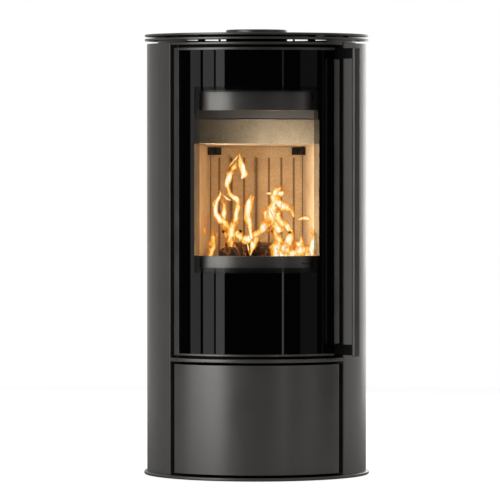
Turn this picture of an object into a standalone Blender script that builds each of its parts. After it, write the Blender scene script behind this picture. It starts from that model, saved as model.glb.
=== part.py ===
"""Round wood burning stove with a curved glass door, an ash drawer and a full height bar handle.

Metres, +Z up. The origin is on the stove's axis at floor level and the door faces -Y.
Plan angles are in degrees, measured from the front (-Y) towards +X, around the axis.
"""

import math

import bmesh
import bpy
from mathutils import Matrix, Vector

# ---------------------------------------------------------------- driving dimensions
TOUCH = 0.0003                     # gap kept between pieces that rest on each other
FACET_ANGLE = 3.0                  # degrees of arc in one flat facet of a curved sheet
RING_SEGMENTS = 72                 # facets of a full turned ring
PIPE_SEGMENTS = 50                 # facets of the horizontal pipes, with none ending at x = 0

BASE_RADIUS = 0.250
BASE_TOP = 0.007
CASING_RADIUS = 0.2435             # outside of every casing sheet, and of the door
SHEET = 0.0025                     # casing sheet thickness
FRONT_ANGLE = 47.9                 # half width of the drawer front and of the door
PANEL_FRONT_ANGLE = 51.2           # front edge of the side panels
PANEL_REAR_ANGLE = 150.0
BACK_START_ANGLE = 150.6
PANEL_TOP = 0.9543

TOP_RADIUS = 0.2485                # the two top discs
CASING_TOP_Z = (0.9497, 0.9547)
MIDDLE_PLATE_Z = (0.9610, 0.9655)
TOP_PLATE_Z = (0.9705, 0.9750)
SPACER_RADIUS = 0.0065
SPACER_CIRCLE = 0.198
SPACER_ANGLES = (38.0, 90.0, 142.0, -142.0, -90.0, -38.0)
FLANGE_ANGLES = (44.5, 135.5)      # folds under the open ring that close the gap at the sides
MIDDLE_OPENING = 0.185
COLLAR_RADIUS = 0.068
COLLAR_BORE = 0.0652
LID_TOP = 0.986

SHELF_Z = (0.257, 0.265)
SHELF_RADIUS = 0.246
SHELF_ANGLE = 50.5
DRAWER_FRONT_Z = (0.0125, 0.2516)
DRAWER_BOX_Z = (0.025, 0.180)
DRAWER_HALF_WIDTH = 0.150
COMPARTMENT_WALL_X = (0.168, 0.170)
RUNNER_Z = (0.0915, 0.1005)
RUNNER_X = 0.1600

DOOR_Z = (0.2710, 0.9428)
DOOR_INNER_RADIUS = 0.2280
DOOR_STRIP_ANGLE = 3.5             # width of the bright side strips of the door
DOOR_RAIL_TOP = 0.0053
DOOR_RAIL_BOTTOM = 0.0044
GLASS_RADII = (0.2362, 0.2402)
GLASS_ANGLE = 44.75
PIVOT_RADIUS = 0.2360              # hinge axis and handle axis
PIVOT_ANGLE = 46.4
PIN_RADIUS = 0.003
LATCH_HEIGHTS = (0.410, 0.800)

HANDLE_RADIUS = 0.298
HANDLE_WIDTH = 0.018
HANDLE_DEPTH = 0.010
HANDLE_Z = (0.270, 0.942)
ARM_HEIGHT = 0.0232
ARM_HALF_WIDTH = 0.004
HUB_RADIUS = 0.0057

FRAME_RADII = (0.222, 0.225)       # fixed front frame that the door seals on
WINDOW_HALF_WIDTH = 0.137
WINDOW_Z = (0.450, 0.850)
FIREBOX_RADII = (0.201, 0.205)
FIREBOX_Z = (0.430, 0.930)
BAND_RADII = (0.216, 0.219)
LOG_GUARD_Z = (0.440, 0.489)
AIR_WASH_Z = (0.806, 0.860)

LINING_THICKNESS = 0.022
LINING_FRONT = Vector((0.137, -0.120))
LINING_REAR = Vector((0.104, 0.138))
LINING_Z = (0.4705, 0.8450)
LINING_BACK_Y = 0.1395
GROOVE_COUNT = 7
GROOVE_PITCH = 0.028
AIR_HOLE_COUNT = 5
AIR_HOLE_PITCH = 0.037
AIR_HOLE_RADIUS = 0.004
AIR_HOLE_Z = 0.535

REAR_FLUE_RADIUS = 0.075
REAR_FLUE_Z = 0.850
AIR_INLET_RADIUS = 0.050
AIR_INLET_Z = 0.120
SPIGOT_WALL = 0.0025
SPIGOT_END = 0.2490
LEVER_X = 0.107


# ---------------------------------------------------------------- scene and materials
def clear_scene():
    """Remove every object of the scene that the script starts in."""
    for obj in list(bpy.data.objects):
        bpy.data.objects.remove(obj, do_unlink=True)


def make_collection(name):
    """Return a new collection linked to the scene."""
    collection = bpy.data.collections.new(name)
    bpy.context.scene.collection.children.link(collection)
    return collection


def make_material(name, colour, roughness, metallic=0.0, transmission=0.0):
    """Return a Principled material."""
    material = bpy.data.materials.new(name)
    material.use_nodes = True
    shader = material.node_tree.nodes["Principled BSDF"]
    shader.inputs["Base Color"].default_value = (*colour, 1.0)
    shader.inputs["Roughness"].default_value = roughness
    shader.inputs["Metallic"].default_value = metallic
    shader.inputs["Transmission Weight"].default_value = transmission
    material.diffuse_color = (*colour, 1.0)
    return material


clear_scene()
PARTS = make_collection("wood_burning_stove")
CUTTERS = make_collection("cutters")

PAINTED_STEEL = make_material("stove_paint_grey", (0.055, 0.053, 0.051), 0.42, 0.35)
BLACK_STEEL = make_material("stove_paint_black", (0.012, 0.012, 0.012), 0.55, 0.2)
BRIGHT_STEEL = make_material("brushed_steel_strip", (0.20, 0.19, 0.18), 0.30, 0.9)
ZINC_STEEL = make_material("zinc_plated_steel", (0.42, 0.42, 0.40), 0.38, 0.9)
CAST_IRON = make_material("cast_iron", (0.03, 0.03, 0.03), 0.75, 0.3)
VERMICULITE = make_material("vermiculite_board", (0.60, 0.44, 0.28), 0.9)
CERAMIC_GLASS = make_material("printed_ceramic_glass", (0.01, 0.01, 0.01), 0.05, 0.0, 0.3)
SEAL_ROPE = make_material("glass_fibre_rope", (0.10, 0.10, 0.10), 0.95)


# ---------------------------------------------------------------- shape helpers
def polar(radius, degrees):
    """Plan position at a radius and an angle from the front."""
    angle = math.radians(degrees)
    return Vector((radius * math.sin(angle), -radius * math.cos(angle)))


def arc(radius, start, end):
    """Plan points along an arc, one every FACET_ANGLE degrees at most."""
    steps = max(1, math.ceil(abs(end - start) / FACET_ANGLE - 1e-6))
    return [polar(radius, start + (end - start) * i / steps) for i in range(steps + 1)]


def sector(inner, outer, start, end):
    """Plan outline of a curved strip between two radii and two angles."""
    return arc(outer, start, end) + arc(inner, end, start)


def circle(radius, centre=(0.0, 0.0), segments=RING_SEGMENTS):
    """Plan outline of a full circle."""
    middle = Vector(centre)
    return [middle + polar(radius, 360.0 * i / segments) for i in range(segments)]


def mirrored(outline):
    """The same plan outline on the other side of the YZ plane."""
    return [Vector((-point.x, point.y)) for point in reversed(outline)]


def new_object(name, data, material, collection=None):
    """Link an object with one material."""
    obj = bpy.data.objects.new(name, data)
    (collection or PARTS).objects.link(obj)
    if material is not None:
        obj.data.materials.append(material)
    return obj


def finish_mesh(mesh):
    """Weld a mesh, face it outwards and shade its round faces smooth."""
    work = bmesh.new()
    work.from_mesh(mesh)
    bmesh.ops.remove_doubles(work, verts=work.verts, dist=0.00001)
    bmesh.ops.recalc_face_normals(work, faces=work.faces)
    work.to_mesh(mesh)
    work.free()
    mesh.shade_smooth()
    mesh.set_sharp_from_angle(angle=math.radians(25))


def plate(name, outlines, z_range, material, collection=None):
    """Flat plate or curved upright sheet: plan outlines filled and extruded in Z.

    The first outline is the edge and the others are holes.
    """
    curve = bpy.data.curves.new(name, "CURVE")
    curve.dimensions = "2D"
    curve.fill_mode = "BOTH"
    curve.extrude = (z_range[1] - z_range[0]) / 2
    for outline in outlines:
        spline = curve.splines.new("POLY")
        spline.points.add(len(outline) - 1)
        for point, place in zip(spline.points, outline):
            point.co = (place[0], place[1], 0.0, 1.0)
        spline.use_cyclic_u = True
    guide = new_object(name + "_outline", curve, None, CUTTERS)
    evaluated = guide.evaluated_get(bpy.context.evaluated_depsgraph_get())
    mesh = bpy.data.meshes.new_from_object(evaluated)
    mesh.name = name
    bpy.data.objects.remove(guide, do_unlink=True)
    bpy.data.curves.remove(curve)
    finish_mesh(mesh)
    obj = new_object(name, mesh, material, collection)
    obj.location.z = (z_range[0] + z_range[1]) / 2
    return obj


def box(name, low, high, material, collection=None, turn=0.0):
    """Box between two corners, turned in plan about the stove's axis."""
    low = Vector(low)
    high = Vector(high)
    work = bmesh.new()
    bmesh.ops.create_cube(work, size=1.0)
    bmesh.ops.scale(work, vec=high - low, verts=work.verts)
    mesh = bpy.data.meshes.new(name)
    work.to_mesh(mesh)
    work.free()
    obj = new_object(name, mesh, material, collection)
    obj.location = Matrix.Rotation(math.radians(turn), 3, "Z") @ ((low + high) / 2)
    obj.rotation_euler.z = math.radians(turn)
    return obj


def radial_box(name, radii, angle, half_width, z_range, material, collection=None):
    """Box that points outwards at a plan angle."""
    low = (-half_width, -radii[1], z_range[0])
    high = (half_width, -radii[0], z_range[1])
    return box(name, low, high, material, collection, turn=angle)


def rod(name, radius, start, end, material, collection=None, segments=24):
    """Solid cylinder between two points."""
    start = Vector(start)
    end = Vector(end)
    work = bmesh.new()
    bmesh.ops.create_cone(
        work,
        cap_ends=True,
        segments=segments,
        radius1=radius,
        radius2=radius,
        depth=(end - start).length,
    )
    mesh = bpy.data.meshes.new(name)
    work.to_mesh(mesh)
    work.free()
    mesh.shade_smooth()
    mesh.set_sharp_from_angle(angle=math.radians(40))
    obj = new_object(name, mesh, material, collection)
    obj.location = (start + end) / 2
    obj.rotation_euler = (end - start).to_track_quat("Z", "Y").to_euler()
    return obj


def turned(name, profile, material, closed=False, segments=RING_SEGMENTS):
    """Turned piece: a profile of (radius, z) points spun about the stove's axis."""
    edges = [(i, i + 1) for i in range(len(profile) - 1)]
    if closed:
        edges.append((len(profile) - 1, 0))
    mesh = bpy.data.meshes.new(name)
    mesh.from_pydata([(r, 0.0, z) for r, z in profile], edges, [])
    obj = new_object(name, mesh, material)
    screw = obj.modifiers.new("turn", "SCREW")
    screw.steps = segments
    screw.render_steps = segments
    screw.use_merge_vertices = True
    screw.merge_threshold = 0.00001
    screw.use_smooth_shade = True
    return obj


def tube_profile(inner, outer, low, high):
    """Closed profile of a plain ring, down its outer side."""
    return [(outer, high), (outer, low), (inner, low), (inner, high)]


def combine(obj, other, operation):
    """Boolean with a helper object that is kept out of sight."""
    if other.name in PARTS.objects:
        PARTS.objects.unlink(other)
        CUTTERS.objects.link(other)
    other.hide_render = True
    other.display_type = "WIRE"
    modifier = obj.modifiers.new(operation.lower(), "BOOLEAN")
    modifier.operation = operation
    modifier.solver = "EXACT"
    modifier.object = other


def cut(obj, cutter):
    """Take a cutter's shape out of a piece."""
    combine(obj, cutter, "DIFFERENCE")


def cut_together(obj, cutters, name):
    """Take several cutters' shapes out of a piece in one step."""
    group = bpy.data.collections.new(name)
    CUTTERS.children.link(group)
    for cutter in cutters:
        CUTTERS.objects.unlink(cutter)
        group.objects.link(cutter)
        cutter.hide_render = True
        cutter.display_type = "WIRE"
    modifier = obj.modifiers.new("openings", "BOOLEAN")
    modifier.operation = "DIFFERENCE"
    modifier.solver = "EXACT"
    modifier.operand_type = "COLLECTION"
    modifier.collection = group


def weld_on(obj, addition):
    """Join an addition's shape to a piece."""
    combine(obj, addition, "UNION")


def round_edges(obj, width, segments=2):
    """Bevel the sharp edges of a piece."""
    bevel = obj.modifiers.new("rounded edges", "BEVEL")
    bevel.width = width
    bevel.segments = segments
    bevel.limit_method = "ANGLE"
    bevel.angle_limit = math.radians(40)


def joint_empty(name, place, parent=None):
    """Empty on a joint's axis that the moving pieces hang from."""
    empty = bpy.data.objects.new(name, None)
    PARTS.objects.link(empty)
    empty.empty_display_size = 0.05
    empty.location = place
    if parent is not None:
        attach(empty, parent)
    return empty


def world_place(obj):
    """World position of an unturned empty, through its parents."""
    place = obj.location.copy()
    while obj.parent is not None:
        obj = obj.parent
        place += obj.location
    return place


def attach(obj, empty):
    """Parent an object to an empty and leave it where it is."""
    obj.location -= world_place(empty)
    obj.parent = empty


# ---------------------------------------------------------------- casing
def side_panel_outline():
    """Curved sheet with a fold inwards along its front and rear edges."""
    lip = SHEET / CASING_RADIUS * 180 / math.pi
    inner = CASING_RADIUS - SHEET
    front = [polar(0.223, PANEL_FRONT_ANGLE + lip), polar(0.223, PANEL_FRONT_ANGLE)]
    rear = [polar(0.226, PANEL_REAR_ANGLE), polar(0.226, PANEL_REAR_ANGLE - lip)]
    outer_arc = arc(CASING_RADIUS, PANEL_FRONT_ANGLE, PANEL_REAR_ANGLE)
    inner_arc = arc(inner, PANEL_REAR_ANGLE - lip, PANEL_FRONT_ANGLE + lip)
    return front + outer_arc + rear + inner_arc


def build_base():
    """Round floor plate with rounded edges."""
    chamfer = 0.0015
    edge = BASE_RADIUS - chamfer
    profile = [
        (0.0, BASE_TOP),
        (edge, BASE_TOP),
        (BASE_RADIUS, BASE_TOP - chamfer),
        (BASE_RADIUS, chamfer),
        (edge, 0.0),
        (0.0, 0.0),
    ]
    turned("base_plate", profile, PAINTED_STEEL)


def build_side_panels():
    """The two tall curved casing panels."""
    z_range = (BASE_TOP + TOUCH, PANEL_TOP)
    outline = side_panel_outline()
    plate("side_panel_right", [outline], z_range, PAINTED_STEEL)
    plate("side_panel_left", [mirrored(outline)], z_range, PAINTED_STEEL)


def build_back_panel():
    """Curved rear cover with the flue hole, the air inlet hole and convection slots."""
    end = 360.0 - BACK_START_ANGLE
    outline = sector(CASING_RADIUS - SHEET, CASING_RADIUS, BACK_START_ANGLE, end)
    panel = plate("back_panel", [outline], (BASE_TOP + TOUCH, PANEL_TOP), PAINTED_STEEL)
    holes = (
        ("rear_flue", REAR_FLUE_RADIUS + 0.004, REAR_FLUE_Z),
        ("air_inlet", AIR_INLET_RADIUS + 0.004, AIR_INLET_Z),
    )
    cutters = []
    for label, radius, height in holes:
        ends = ((0.0, 0.20, height), (0.0, 0.28, height))
        cutters.append(rod("cut_" + label, radius, *ends, None, CUTTERS, PIPE_SEGMENTS))
    for row, height in enumerate((0.560, 0.600, 0.640)):
        for column in range(-2, 3):
            name = "cut_slot_%d_%d" % (row, column)
            turn = 180.0 + column * 8.0
            z_range = (height - 0.004, height + 0.004)
            cutters.append(radial_box(name, (0.230, 0.255), turn, 0.013, z_range, None, CUTTERS))
    cut_together(panel, cutters, "back_panel_openings")


def build_top():
    """Casing top, open ring, top disc and the posts that hold them apart."""
    edge = arc(0.243, -SHELF_ANGLE, SHELF_ANGLE) + arc(0.2222, SHELF_ANGLE, 360 - SHELF_ANGLE)
    collar_hole = circle(COLLAR_RADIUS + 0.0006)
    plate("casing_top_plate", [edge, collar_hole], CASING_TOP_Z, BLACK_STEEL)
    plate("top_plate", [circle(TOP_RADIUS), collar_hole], TOP_PLATE_Z, PAINTED_STEEL)

    places = [polar(SPACER_CIRCLE, angle) for angle in SPACER_ANGLES]
    post_holes = [circle(SPACER_RADIUS + 0.0004, place, 20) for place in places]
    outlines = [circle(TOP_RADIUS), circle(MIDDLE_OPENING)] + post_holes
    ring = plate("middle_plate", outlines, MIDDLE_PLATE_Z, PAINTED_STEEL)
    flange_z = (CASING_TOP_Z[1] + TOUCH, MIDDLE_PLATE_Z[0] + 0.001)
    for side in (-1, 1):
        outline = sector(0.2180, 0.2200, side * FLANGE_ANGLES[0], side * FLANGE_ANGLES[1])
        weld_on(ring, plate("add_flange_%d" % side, [outline], flange_z, None, CUTTERS))
    for number, place in enumerate(places, start=1):
        start = (place.x, place.y, CASING_TOP_Z[1] + TOUCH)
        end = (place.x, place.y, TOP_PLATE_Z[0] - TOUCH)
        rod("spacer_%d" % number, SPACER_RADIUS, start, end, BLACK_STEEL, segments=20)


def build_flue():
    """Top outlet collar, its lift off lid and the rear flue spigot."""
    profile = tube_profile(COLLAR_BORE, COLLAR_RADIUS, 0.905, TOP_PLATE_Z[1])
    turned("flue_collar", profile, BLACK_STEEL, closed=True)

    rim = COLLAR_RADIUS
    plug = COLLAR_BORE - 0.0008
    seat = TOP_PLATE_Z[1] + TOUCH
    round_off = 0.002
    profile = [
        (0.0, LID_TOP),
        (rim - round_off, LID_TOP),
        (rim, LID_TOP - round_off),
        (rim, seat),
        (plug, seat),
        (plug, seat - 0.010),
        (0.0, seat - 0.010),
    ]
    lid = turned("flue_lid", profile, PAINTED_STEEL)
    attach(lid, joint_empty("flue_lid_lift", (0.0, 0.0, seat)))

    outer = rod(
        "rear_flue_spigot",
        REAR_FLUE_RADIUS,
        (0.0, 0.175, REAR_FLUE_Z),
        (0.0, SPIGOT_END, REAR_FLUE_Z),
        BLACK_STEEL,
        segments=PIPE_SEGMENTS,
    )
    bore = REAR_FLUE_RADIUS - SPIGOT_WALL
    ends = ((0.0, 0.16, REAR_FLUE_Z), (0.0, 0.27, REAR_FLUE_Z))
    cut(outer, rod("cut_rear_flue_bore", bore, *ends, None, CUTTERS, PIPE_SEGMENTS))


# ---------------------------------------------------------------- lower compartment
def jamb_outline():
    """Black post behind the gap between the door and a side panel."""
    outer = arc(0.2215, FRONT_ANGLE, 51.0)
    leg_x = outer[-1].x
    leg = [Vector((leg_x, -0.1285)), Vector((leg_x - SHEET, -0.1285))]
    return outer + leg + arc(0.2190, 50.3, FRONT_ANGLE)


def shelf_outline():
    """Deck between drawer and door, notched around the two jambs."""
    right = [
        polar(0.2225, SHELF_ANGLE),
        polar(0.2225, 47.0),
        Vector((0.1610, -0.1500)),
        Vector((0.1610, -0.1270)),
        Vector((0.1720, -0.1270)),
        Vector((0.1720, 0.1500)),
    ]
    return arc(SHELF_RADIUS, -SHELF_ANGLE, SHELF_ANGLE) + right + mirrored(right)


def build_compartment():
    """Deck, jambs, compartment walls and the rails that the drawer runs on."""
    plate("shelf_plate", [shelf_outline()], SHELF_Z, PAINTED_STEEL)
    jamb_z = (BASE_TOP + TOUCH, CASING_TOP_Z[0] - TOUCH)
    plate("jamb_right", [jamb_outline()], jamb_z, BLACK_STEEL)
    plate("jamb_left", [mirrored(jamb_outline())], jamb_z, BLACK_STEEL)

    wall_z = (BASE_TOP + TOUCH, SHELF_Z[0] - TOUCH)
    for label, side in (("left", -1), ("right", 1)):
        inner, outer = sorted(side * x for x in COMPARTMENT_WALL_X)
        low = (inner, -0.128, wall_z[0])
        high = (outer, 0.150, wall_z[1])
        box("compartment_wall_" + label, low, high, ZINC_STEEL)
        build_drawer_rail(label, side)


def build_drawer_rail(label, side):
    """Channel screwed to a compartment wall, open towards the drawer."""
    near, far = sorted((side * 0.1560, side * (COMPARTMENT_WALL_X[0] - TOUCH)))
    low = (near, -0.128, RUNNER_Z[0] - 0.0035)
    high = (far, 0.145, RUNNER_Z[1] + 0.0035)
    rail = box("drawer_rail_" + label, low, high, ZINC_STEEL)
    near, far = sorted((side * 0.1500, side * (RUNNER_X + 0.0010)))
    low = (near, -0.140, RUNNER_Z[0] - 0.0010)
    high = (far, 0.160, RUNNER_Z[1] + 0.0010)
    cut(rail, box("cut_rail_" + label, low, high, None, CUTTERS))


def build_drawer():
    """Curved drawer front and the steel box behind it, on one slide."""
    slide = joint_empty("drawer_slide", (0.0, 0.0, RUNNER_Z[0]))
    lip = SHEET / CASING_RADIUS * 180 / math.pi
    inner_edge = FRONT_ANGLE - lip
    fold = [polar(0.228, FRONT_ANGLE), polar(0.228, inner_edge)]
    outline = arc(CASING_RADIUS, -FRONT_ANGLE, FRONT_ANGLE) + fold
    outline += arc(CASING_RADIUS - SHEET, inner_edge, -inner_edge) + mirrored(fold)
    front = plate("drawer_front", [outline], DRAWER_FRONT_Z, PAINTED_STEEL)
    attach(front, slide)

    wall = 0.0015
    half = DRAWER_HALF_WIDTH
    low_z, high_z = DRAWER_BOX_Z
    body = box("drawer_box", (-half, -0.186, low_z), (half, 0.150, high_z), ZINC_STEEL)
    low = (-half + wall, -0.175 + wall, low_z + wall)
    cut(body, box("cut_drawer_inside", low, (half - wall, 0.150 - wall, 0.30), None, CUTTERS))
    low = (-half + wall, -0.200, 0.0)
    cut(body, box("cut_drawer_nose", low, (half - wall, -0.175, 0.30), None, CUTTERS))
    for label, side in (("left", -1), ("right", 1)):
        near, far = sorted((side * (half - wall / 2), side * RUNNER_X))
        low = (near, -0.128, RUNNER_Z[0])
        high = (far, 0.145, RUNNER_Z[1])
        weld_on(body, box("add_runner_" + label, low, high, None, CUTTERS))
    attach(body, slide)


# ---------------------------------------------------------------- firebox
def build_front_frame():
    """Fixed frame behind the door: fire opening, ash pan opening and lever slot."""
    outline = sector(*FRAME_RADII, -47.7, 47.7)
    z_range = (SHELF_Z[1] + TOUCH, CASING_TOP_Z[0] - TOUCH)
    frame = plate("front_frame", [outline], z_range, BLACK_STEEL)
    openings = (
        ("window", -WINDOW_HALF_WIDTH, WINDOW_HALF_WIDTH, *WINDOW_Z),
        ("ash_door", -0.106, 0.106, 0.298, 0.400),
        ("lever_slot", 0.047, 0.117, 0.260, 0.2722),
    )
    for label, low_x, high_x, low_z, high_z in openings:
        low = (low_x, -0.240, low_z)
        cut(frame, box("cut_" + label, low, (high_x, -0.100, high_z), None, CUTTERS))


def build_firebox_shell():
    """Rolled steel firebox, open at the front, with its floor and its top."""
    front = 43.0
    flange = 45.5
    inner, outer = FIREBOX_RADII
    right = [polar(outer, front + 3.0), polar(0.2212, flange), polar(0.2212, flange + 0.8)]
    right.append(polar(outer, front + 4.4))
    outline = [polar(inner, front)] + right
    outline += arc(outer, front + 6.0, 360.0 - front - 6.0)
    outline += mirrored([polar(inner, front)] + right)
    outline += arc(inner, 360.0 - front - 2.0, front + 2.0)
    shell = plate("firebox_shell", [outline], FIREBOX_Z, BLACK_STEEL)
    ends = ((0.0, 0.14, REAR_FLUE_Z), (0.0, 0.25, REAR_FLUE_Z))
    cut(shell, rod("cut_shell_flue", REAR_FLUE_RADIUS + 0.0006, *ends, None, CUTTERS, PIPE_SEGMENTS))

    disc_radius = inner - 0.0008
    disc = circle(disc_radius)
    ash_hole = [Vector(p) for p in ((-0.08, -0.09), (0.08, -0.09), (0.08, 0.06), (-0.08, 0.06))]
    plate("firebox_floor", [disc, ash_hole], (0.4303, 0.4343), BLACK_STEEL)
    plate("firebox_top", [disc, circle(COLLAR_RADIUS + 0.0006)], (0.9260, 0.9300), BLACK_STEEL)

    for label, side in (("left", -1), ("right", 1)):
        near, far = sorted((side * 0.130, side * 0.133))
        low = (near, -0.150, SHELF_Z[1] + TOUCH)
        box("firebox_support_" + label, low, (far, 0.149, 0.4300), BLACK_STEEL)


def build_bands():
    """Curved log guard below the fire opening and air wash deflector above it."""
    outline = sector(*BAND_RADII, -40.0, 40.0)
    plate("log_guard", [outline], LOG_GUARD_Z, PAINTED_STEEL)
    plate("air_wash_deflector", [outline], AIR_WASH_Z, PAINTED_STEEL)


def side_lining_outline():
    """Board that leans in towards the back of the fire."""
    along = (LINING_REAR - LINING_FRONT).normalized()
    outwards = Vector((along.y, -along.x)) * LINING_THICKNESS
    return [LINING_FRONT, LINING_FRONT + outwards, LINING_REAR + outwards, LINING_REAR]


def build_lining():
    """Vermiculite boards around the fire, and the cast grate in the floor."""
    plate("lining_right", [side_lining_outline()], LINING_Z, VERMICULITE)
    plate("lining_left", [mirrored(side_lining_outline())], LINING_Z, VERMICULITE)

    half = LINING_REAR.x - 0.001
    low = (-half, LINING_BACK_Y, LINING_Z[0])
    high = (half, LINING_BACK_Y + LINING_THICKNESS, 0.7450)
    back = box("lining_back", low, high, VERMICULITE)
    for number in range(GROOVE_COUNT):
        middle = (number - (GROOVE_COUNT - 1) / 2) * GROOVE_PITCH
        low = (middle - 0.0015, LINING_BACK_Y - 0.004, 0.46)
        high = (middle + 0.0015, LINING_BACK_Y + 0.002, 0.702)
        cut(back, box("cut_groove_%d" % number, low, high, None, CUTTERS))
    for number in range(AIR_HOLE_COUNT):
        middle = (number - (AIR_HOLE_COUNT - 1) / 2) * AIR_HOLE_PITCH
        ends = ((middle, 0.130, AIR_HOLE_Z), (middle, 0.170, AIR_HOLE_Z))
        cut(back, rod("cut_air_hole_%d" % number, AIR_HOLE_RADIUS, *ends, None, CUTTERS, 14))

    front_half = 0.1370
    floor_edge = [
        Vector((-front_half, -0.135)),
        Vector((front_half, -0.135)),
        Vector((LINING_FRONT.x + 0.015, -0.1190)),
        Vector((LINING_REAR.x + 0.010, 0.155)),
        Vector((-LINING_REAR.x - 0.010, 0.155)),
        Vector((-LINING_FRONT.x - 0.015, -0.1190)),
    ]
    grate_x = 0.075
    grate_y = (-0.085, 0.055)
    hole = [
        Vector((-grate_x, grate_y[0])),
        Vector((grate_x, grate_y[0])),
        Vector((grate_x, grate_y[1])),
        Vector((-grate_x, grate_y[1])),
    ]
    plate("lining_floor", [floor_edge, hole], (0.4346, LINING_Z[0] - TOUCH), VERMICULITE)

    inset = 0.001
    low = (-grate_x + inset, grate_y[0] + inset, 0.4346)
    high = (grate_x - inset, grate_y[1] - inset, 0.4640)
    grate = box("grate", low, high, CAST_IRON)
    low = (-grate_x + 0.008, grate_y[0] + 0.008, 0.42)
    cut(grate, box("cut_grate_below", low, (grate_x - 0.008, grate_y[1] - 0.008, 0.452), None, CUTTERS))
    for number in range(8):
        middle = -0.056 + number * 0.016
        low = (middle - 0.003, grate_y[0] + 0.014, 0.40)
        high = (middle + 0.003, grate_y[1] - 0.014, 0.50)
        cut(grate, box("cut_grate_slot_%d" % number, low, high, None, CUTTERS))


def baffle_half_width(y):
    """Half width of the space between the side boards, less a small gap."""
    slope = (LINING_FRONT.x - LINING_REAR.x) / (LINING_REAR.y - LINING_FRONT.y)
    return LINING_FRONT.x - 0.001 - slope * (y - LINING_FRONT.y)


def build_baffle():
    """Wedge board above the fire with its steel nose, its two rear brackets and the steel smoke shelf."""
    section = (
        (-0.130, 0.7335),
        (0.1345, 0.726),
        (0.1345, 0.746),
        (-0.136, 0.786),
    )
    # The wedge also narrows towards the rear, so its faces join two side sections.
    work = bmesh.new()
    left = [work.verts.new((-baffle_half_width(y), y, z)) for y, z in section]
    right = [work.verts.new((baffle_half_width(y), y, z)) for y, z in section]
    work.faces.new(left)
    work.faces.new(right)
    for index in range(len(section)):
        following = (index + 1) % len(section)
        work.faces.new((left[index], left[following], right[following], right[index]))
    mesh = bpy.data.meshes.new("baffle_plate")
    work.to_mesh(mesh)
    work.free()
    finish_mesh(mesh)
    new_object("baffle_plate", mesh, VERMICULITE)

    lip = box("baffle_lip", (-0.134, -0.1358, 0.7862), (0.134, -0.1338, 0.8085), BLACK_STEEL)
    round_edges(lip, 0.0005, 1)

    along = (LINING_REAR - LINING_FRONT).normalized()
    inwards = Vector((-along.y, along.x))
    corner = LINING_REAR + inwards * 0.0006
    corner.y = LINING_BACK_Y - 0.0006
    width = 0.010
    outline = [
        corner,
        corner - Vector((0.024, 0.0)),
        corner - Vector((0.024, width)),
        corner + Vector((-width, -width)),
        corner + inwards * width - along * 0.050,
        corner - along * 0.050,
    ]
    bracket_z = (0.7080, 0.7245)
    plate("baffle_bracket_right", [outline], bracket_z, BLACK_STEEL)
    plate("baffle_bracket_left", [mirrored(outline)], bracket_z, BLACK_STEEL)

    shelf_z = LINING_Z[1] + TOUCH
    shelf = box("smoke_shelf", (-0.130, -0.115, shelf_z), (0.130, 0.110, shelf_z + 0.003), BLACK_STEEL)
    round_edges(shelf, 0.001, 1)


def open_tray(name, low, high, wall, material, open_front):
    """Sheet metal box open at the top, and at the front too where asked."""
    tray = box(name, low, high, material)
    front = low[1] - 0.02 if open_front else low[1] + wall
    inner_low = (low[0] + wall, front, low[2] + wall)
    inner_high = (high[0] - wall, high[1] - wall, high[2] + 0.02)
    cut(tray, box("cut_" + name, inner_low, inner_high, None, CUTTERS))
    return tray


def build_ash_parts():
    """Housing under the grate and the pan that stands in it."""
    open_tray("ash_housing", (-0.108, -0.186, 0.296), (0.108, 0.105, 0.4295), 0.002, BLACK_STEEL, True)
    pan = open_tray("ash_pan", (-0.103, -0.176, 0.2985), (0.103, 0.095, 0.3500), 0.0015, ZINC_STEEL, False)
    tab = box("add_pan_tab", (-0.030, -0.185, 0.3380), (0.030, -0.1755, 0.3405), None, CUTTERS)
    weld_on(pan, tab)


def build_air_box():
    """Duct behind the drawer that takes air from the rear inlet up to the fire."""
    duct = box("air_box", (-0.056, 0.165, 0.060), (0.056, 0.2200, 0.4290), BLACK_STEEL)
    ends = ((0.0, 0.215, AIR_INLET_Z), (0.0, SPIGOT_END, AIR_INLET_Z))
    weld_on(duct, rod("add_air_spigot", AIR_INLET_RADIUS, *ends, None, CUTTERS, PIPE_SEGMENTS))
    wall = 0.002
    low = (-0.056 + wall, 0.165 + wall, 0.060 + wall)
    high = (0.056 - wall, 0.2200 - wall, 0.4290 - wall)
    cut(duct, box("cut_duct_inside", low, high, None, CUTTERS))
    ends = ((0.0, 0.200, AIR_INLET_Z), (0.0, 0.260, AIR_INLET_Z))
    bore = AIR_INLET_RADIUS - SPIGOT_WALL
    cut(duct, rod("cut_air_bore", bore, *ends, None, CUTTERS, PIPE_SEGMENTS))
    low = (-0.045, 0.150, 0.272)
    cut(duct, box("cut_duct_outlet", low, (0.045, 0.185, 0.292), None, CUTTERS))


def build_air_control():
    """Flat air slide on the deck with the lever that shows below the door."""
    slide = joint_empty("air_slide_guide", (0.0, -0.165, SHELF_Z[1]))
    z_low = SHELF_Z[1] + 0.0006
    control = box("air_slide", (0.010, -0.185, z_low), (0.114, -0.155, z_low + 0.0022), ZINC_STEEL)
    low = (LEVER_X - 0.004, -0.2235, z_low + 0.0010)
    high = (LEVER_X + 0.004, -0.1560, z_low + 0.0038)
    weld_on(control, box("add_lever", low, high, None, CUTTERS))
    attach(control, slide)


# ---------------------------------------------------------------- door and handle
def build_hinge_pins():
    """Fixed pins on the left, up from the deck and down from the casing top."""
    place = polar(PIVOT_RADIUS, -PIVOT_ANGLE)
    spans = (
        ("hinge_pin_bottom", SHELF_Z[1] + TOUCH, DOOR_Z[0] + 0.010),
        ("hinge_pin_top", DOOR_Z[1] - 0.010, CASING_TOP_Z[0] - TOUCH),
    )
    for name, low, high in spans:
        rod(name, PIN_RADIUS, (place.x, place.y, low), (place.x, place.y, high), ZINC_STEEL)


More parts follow.
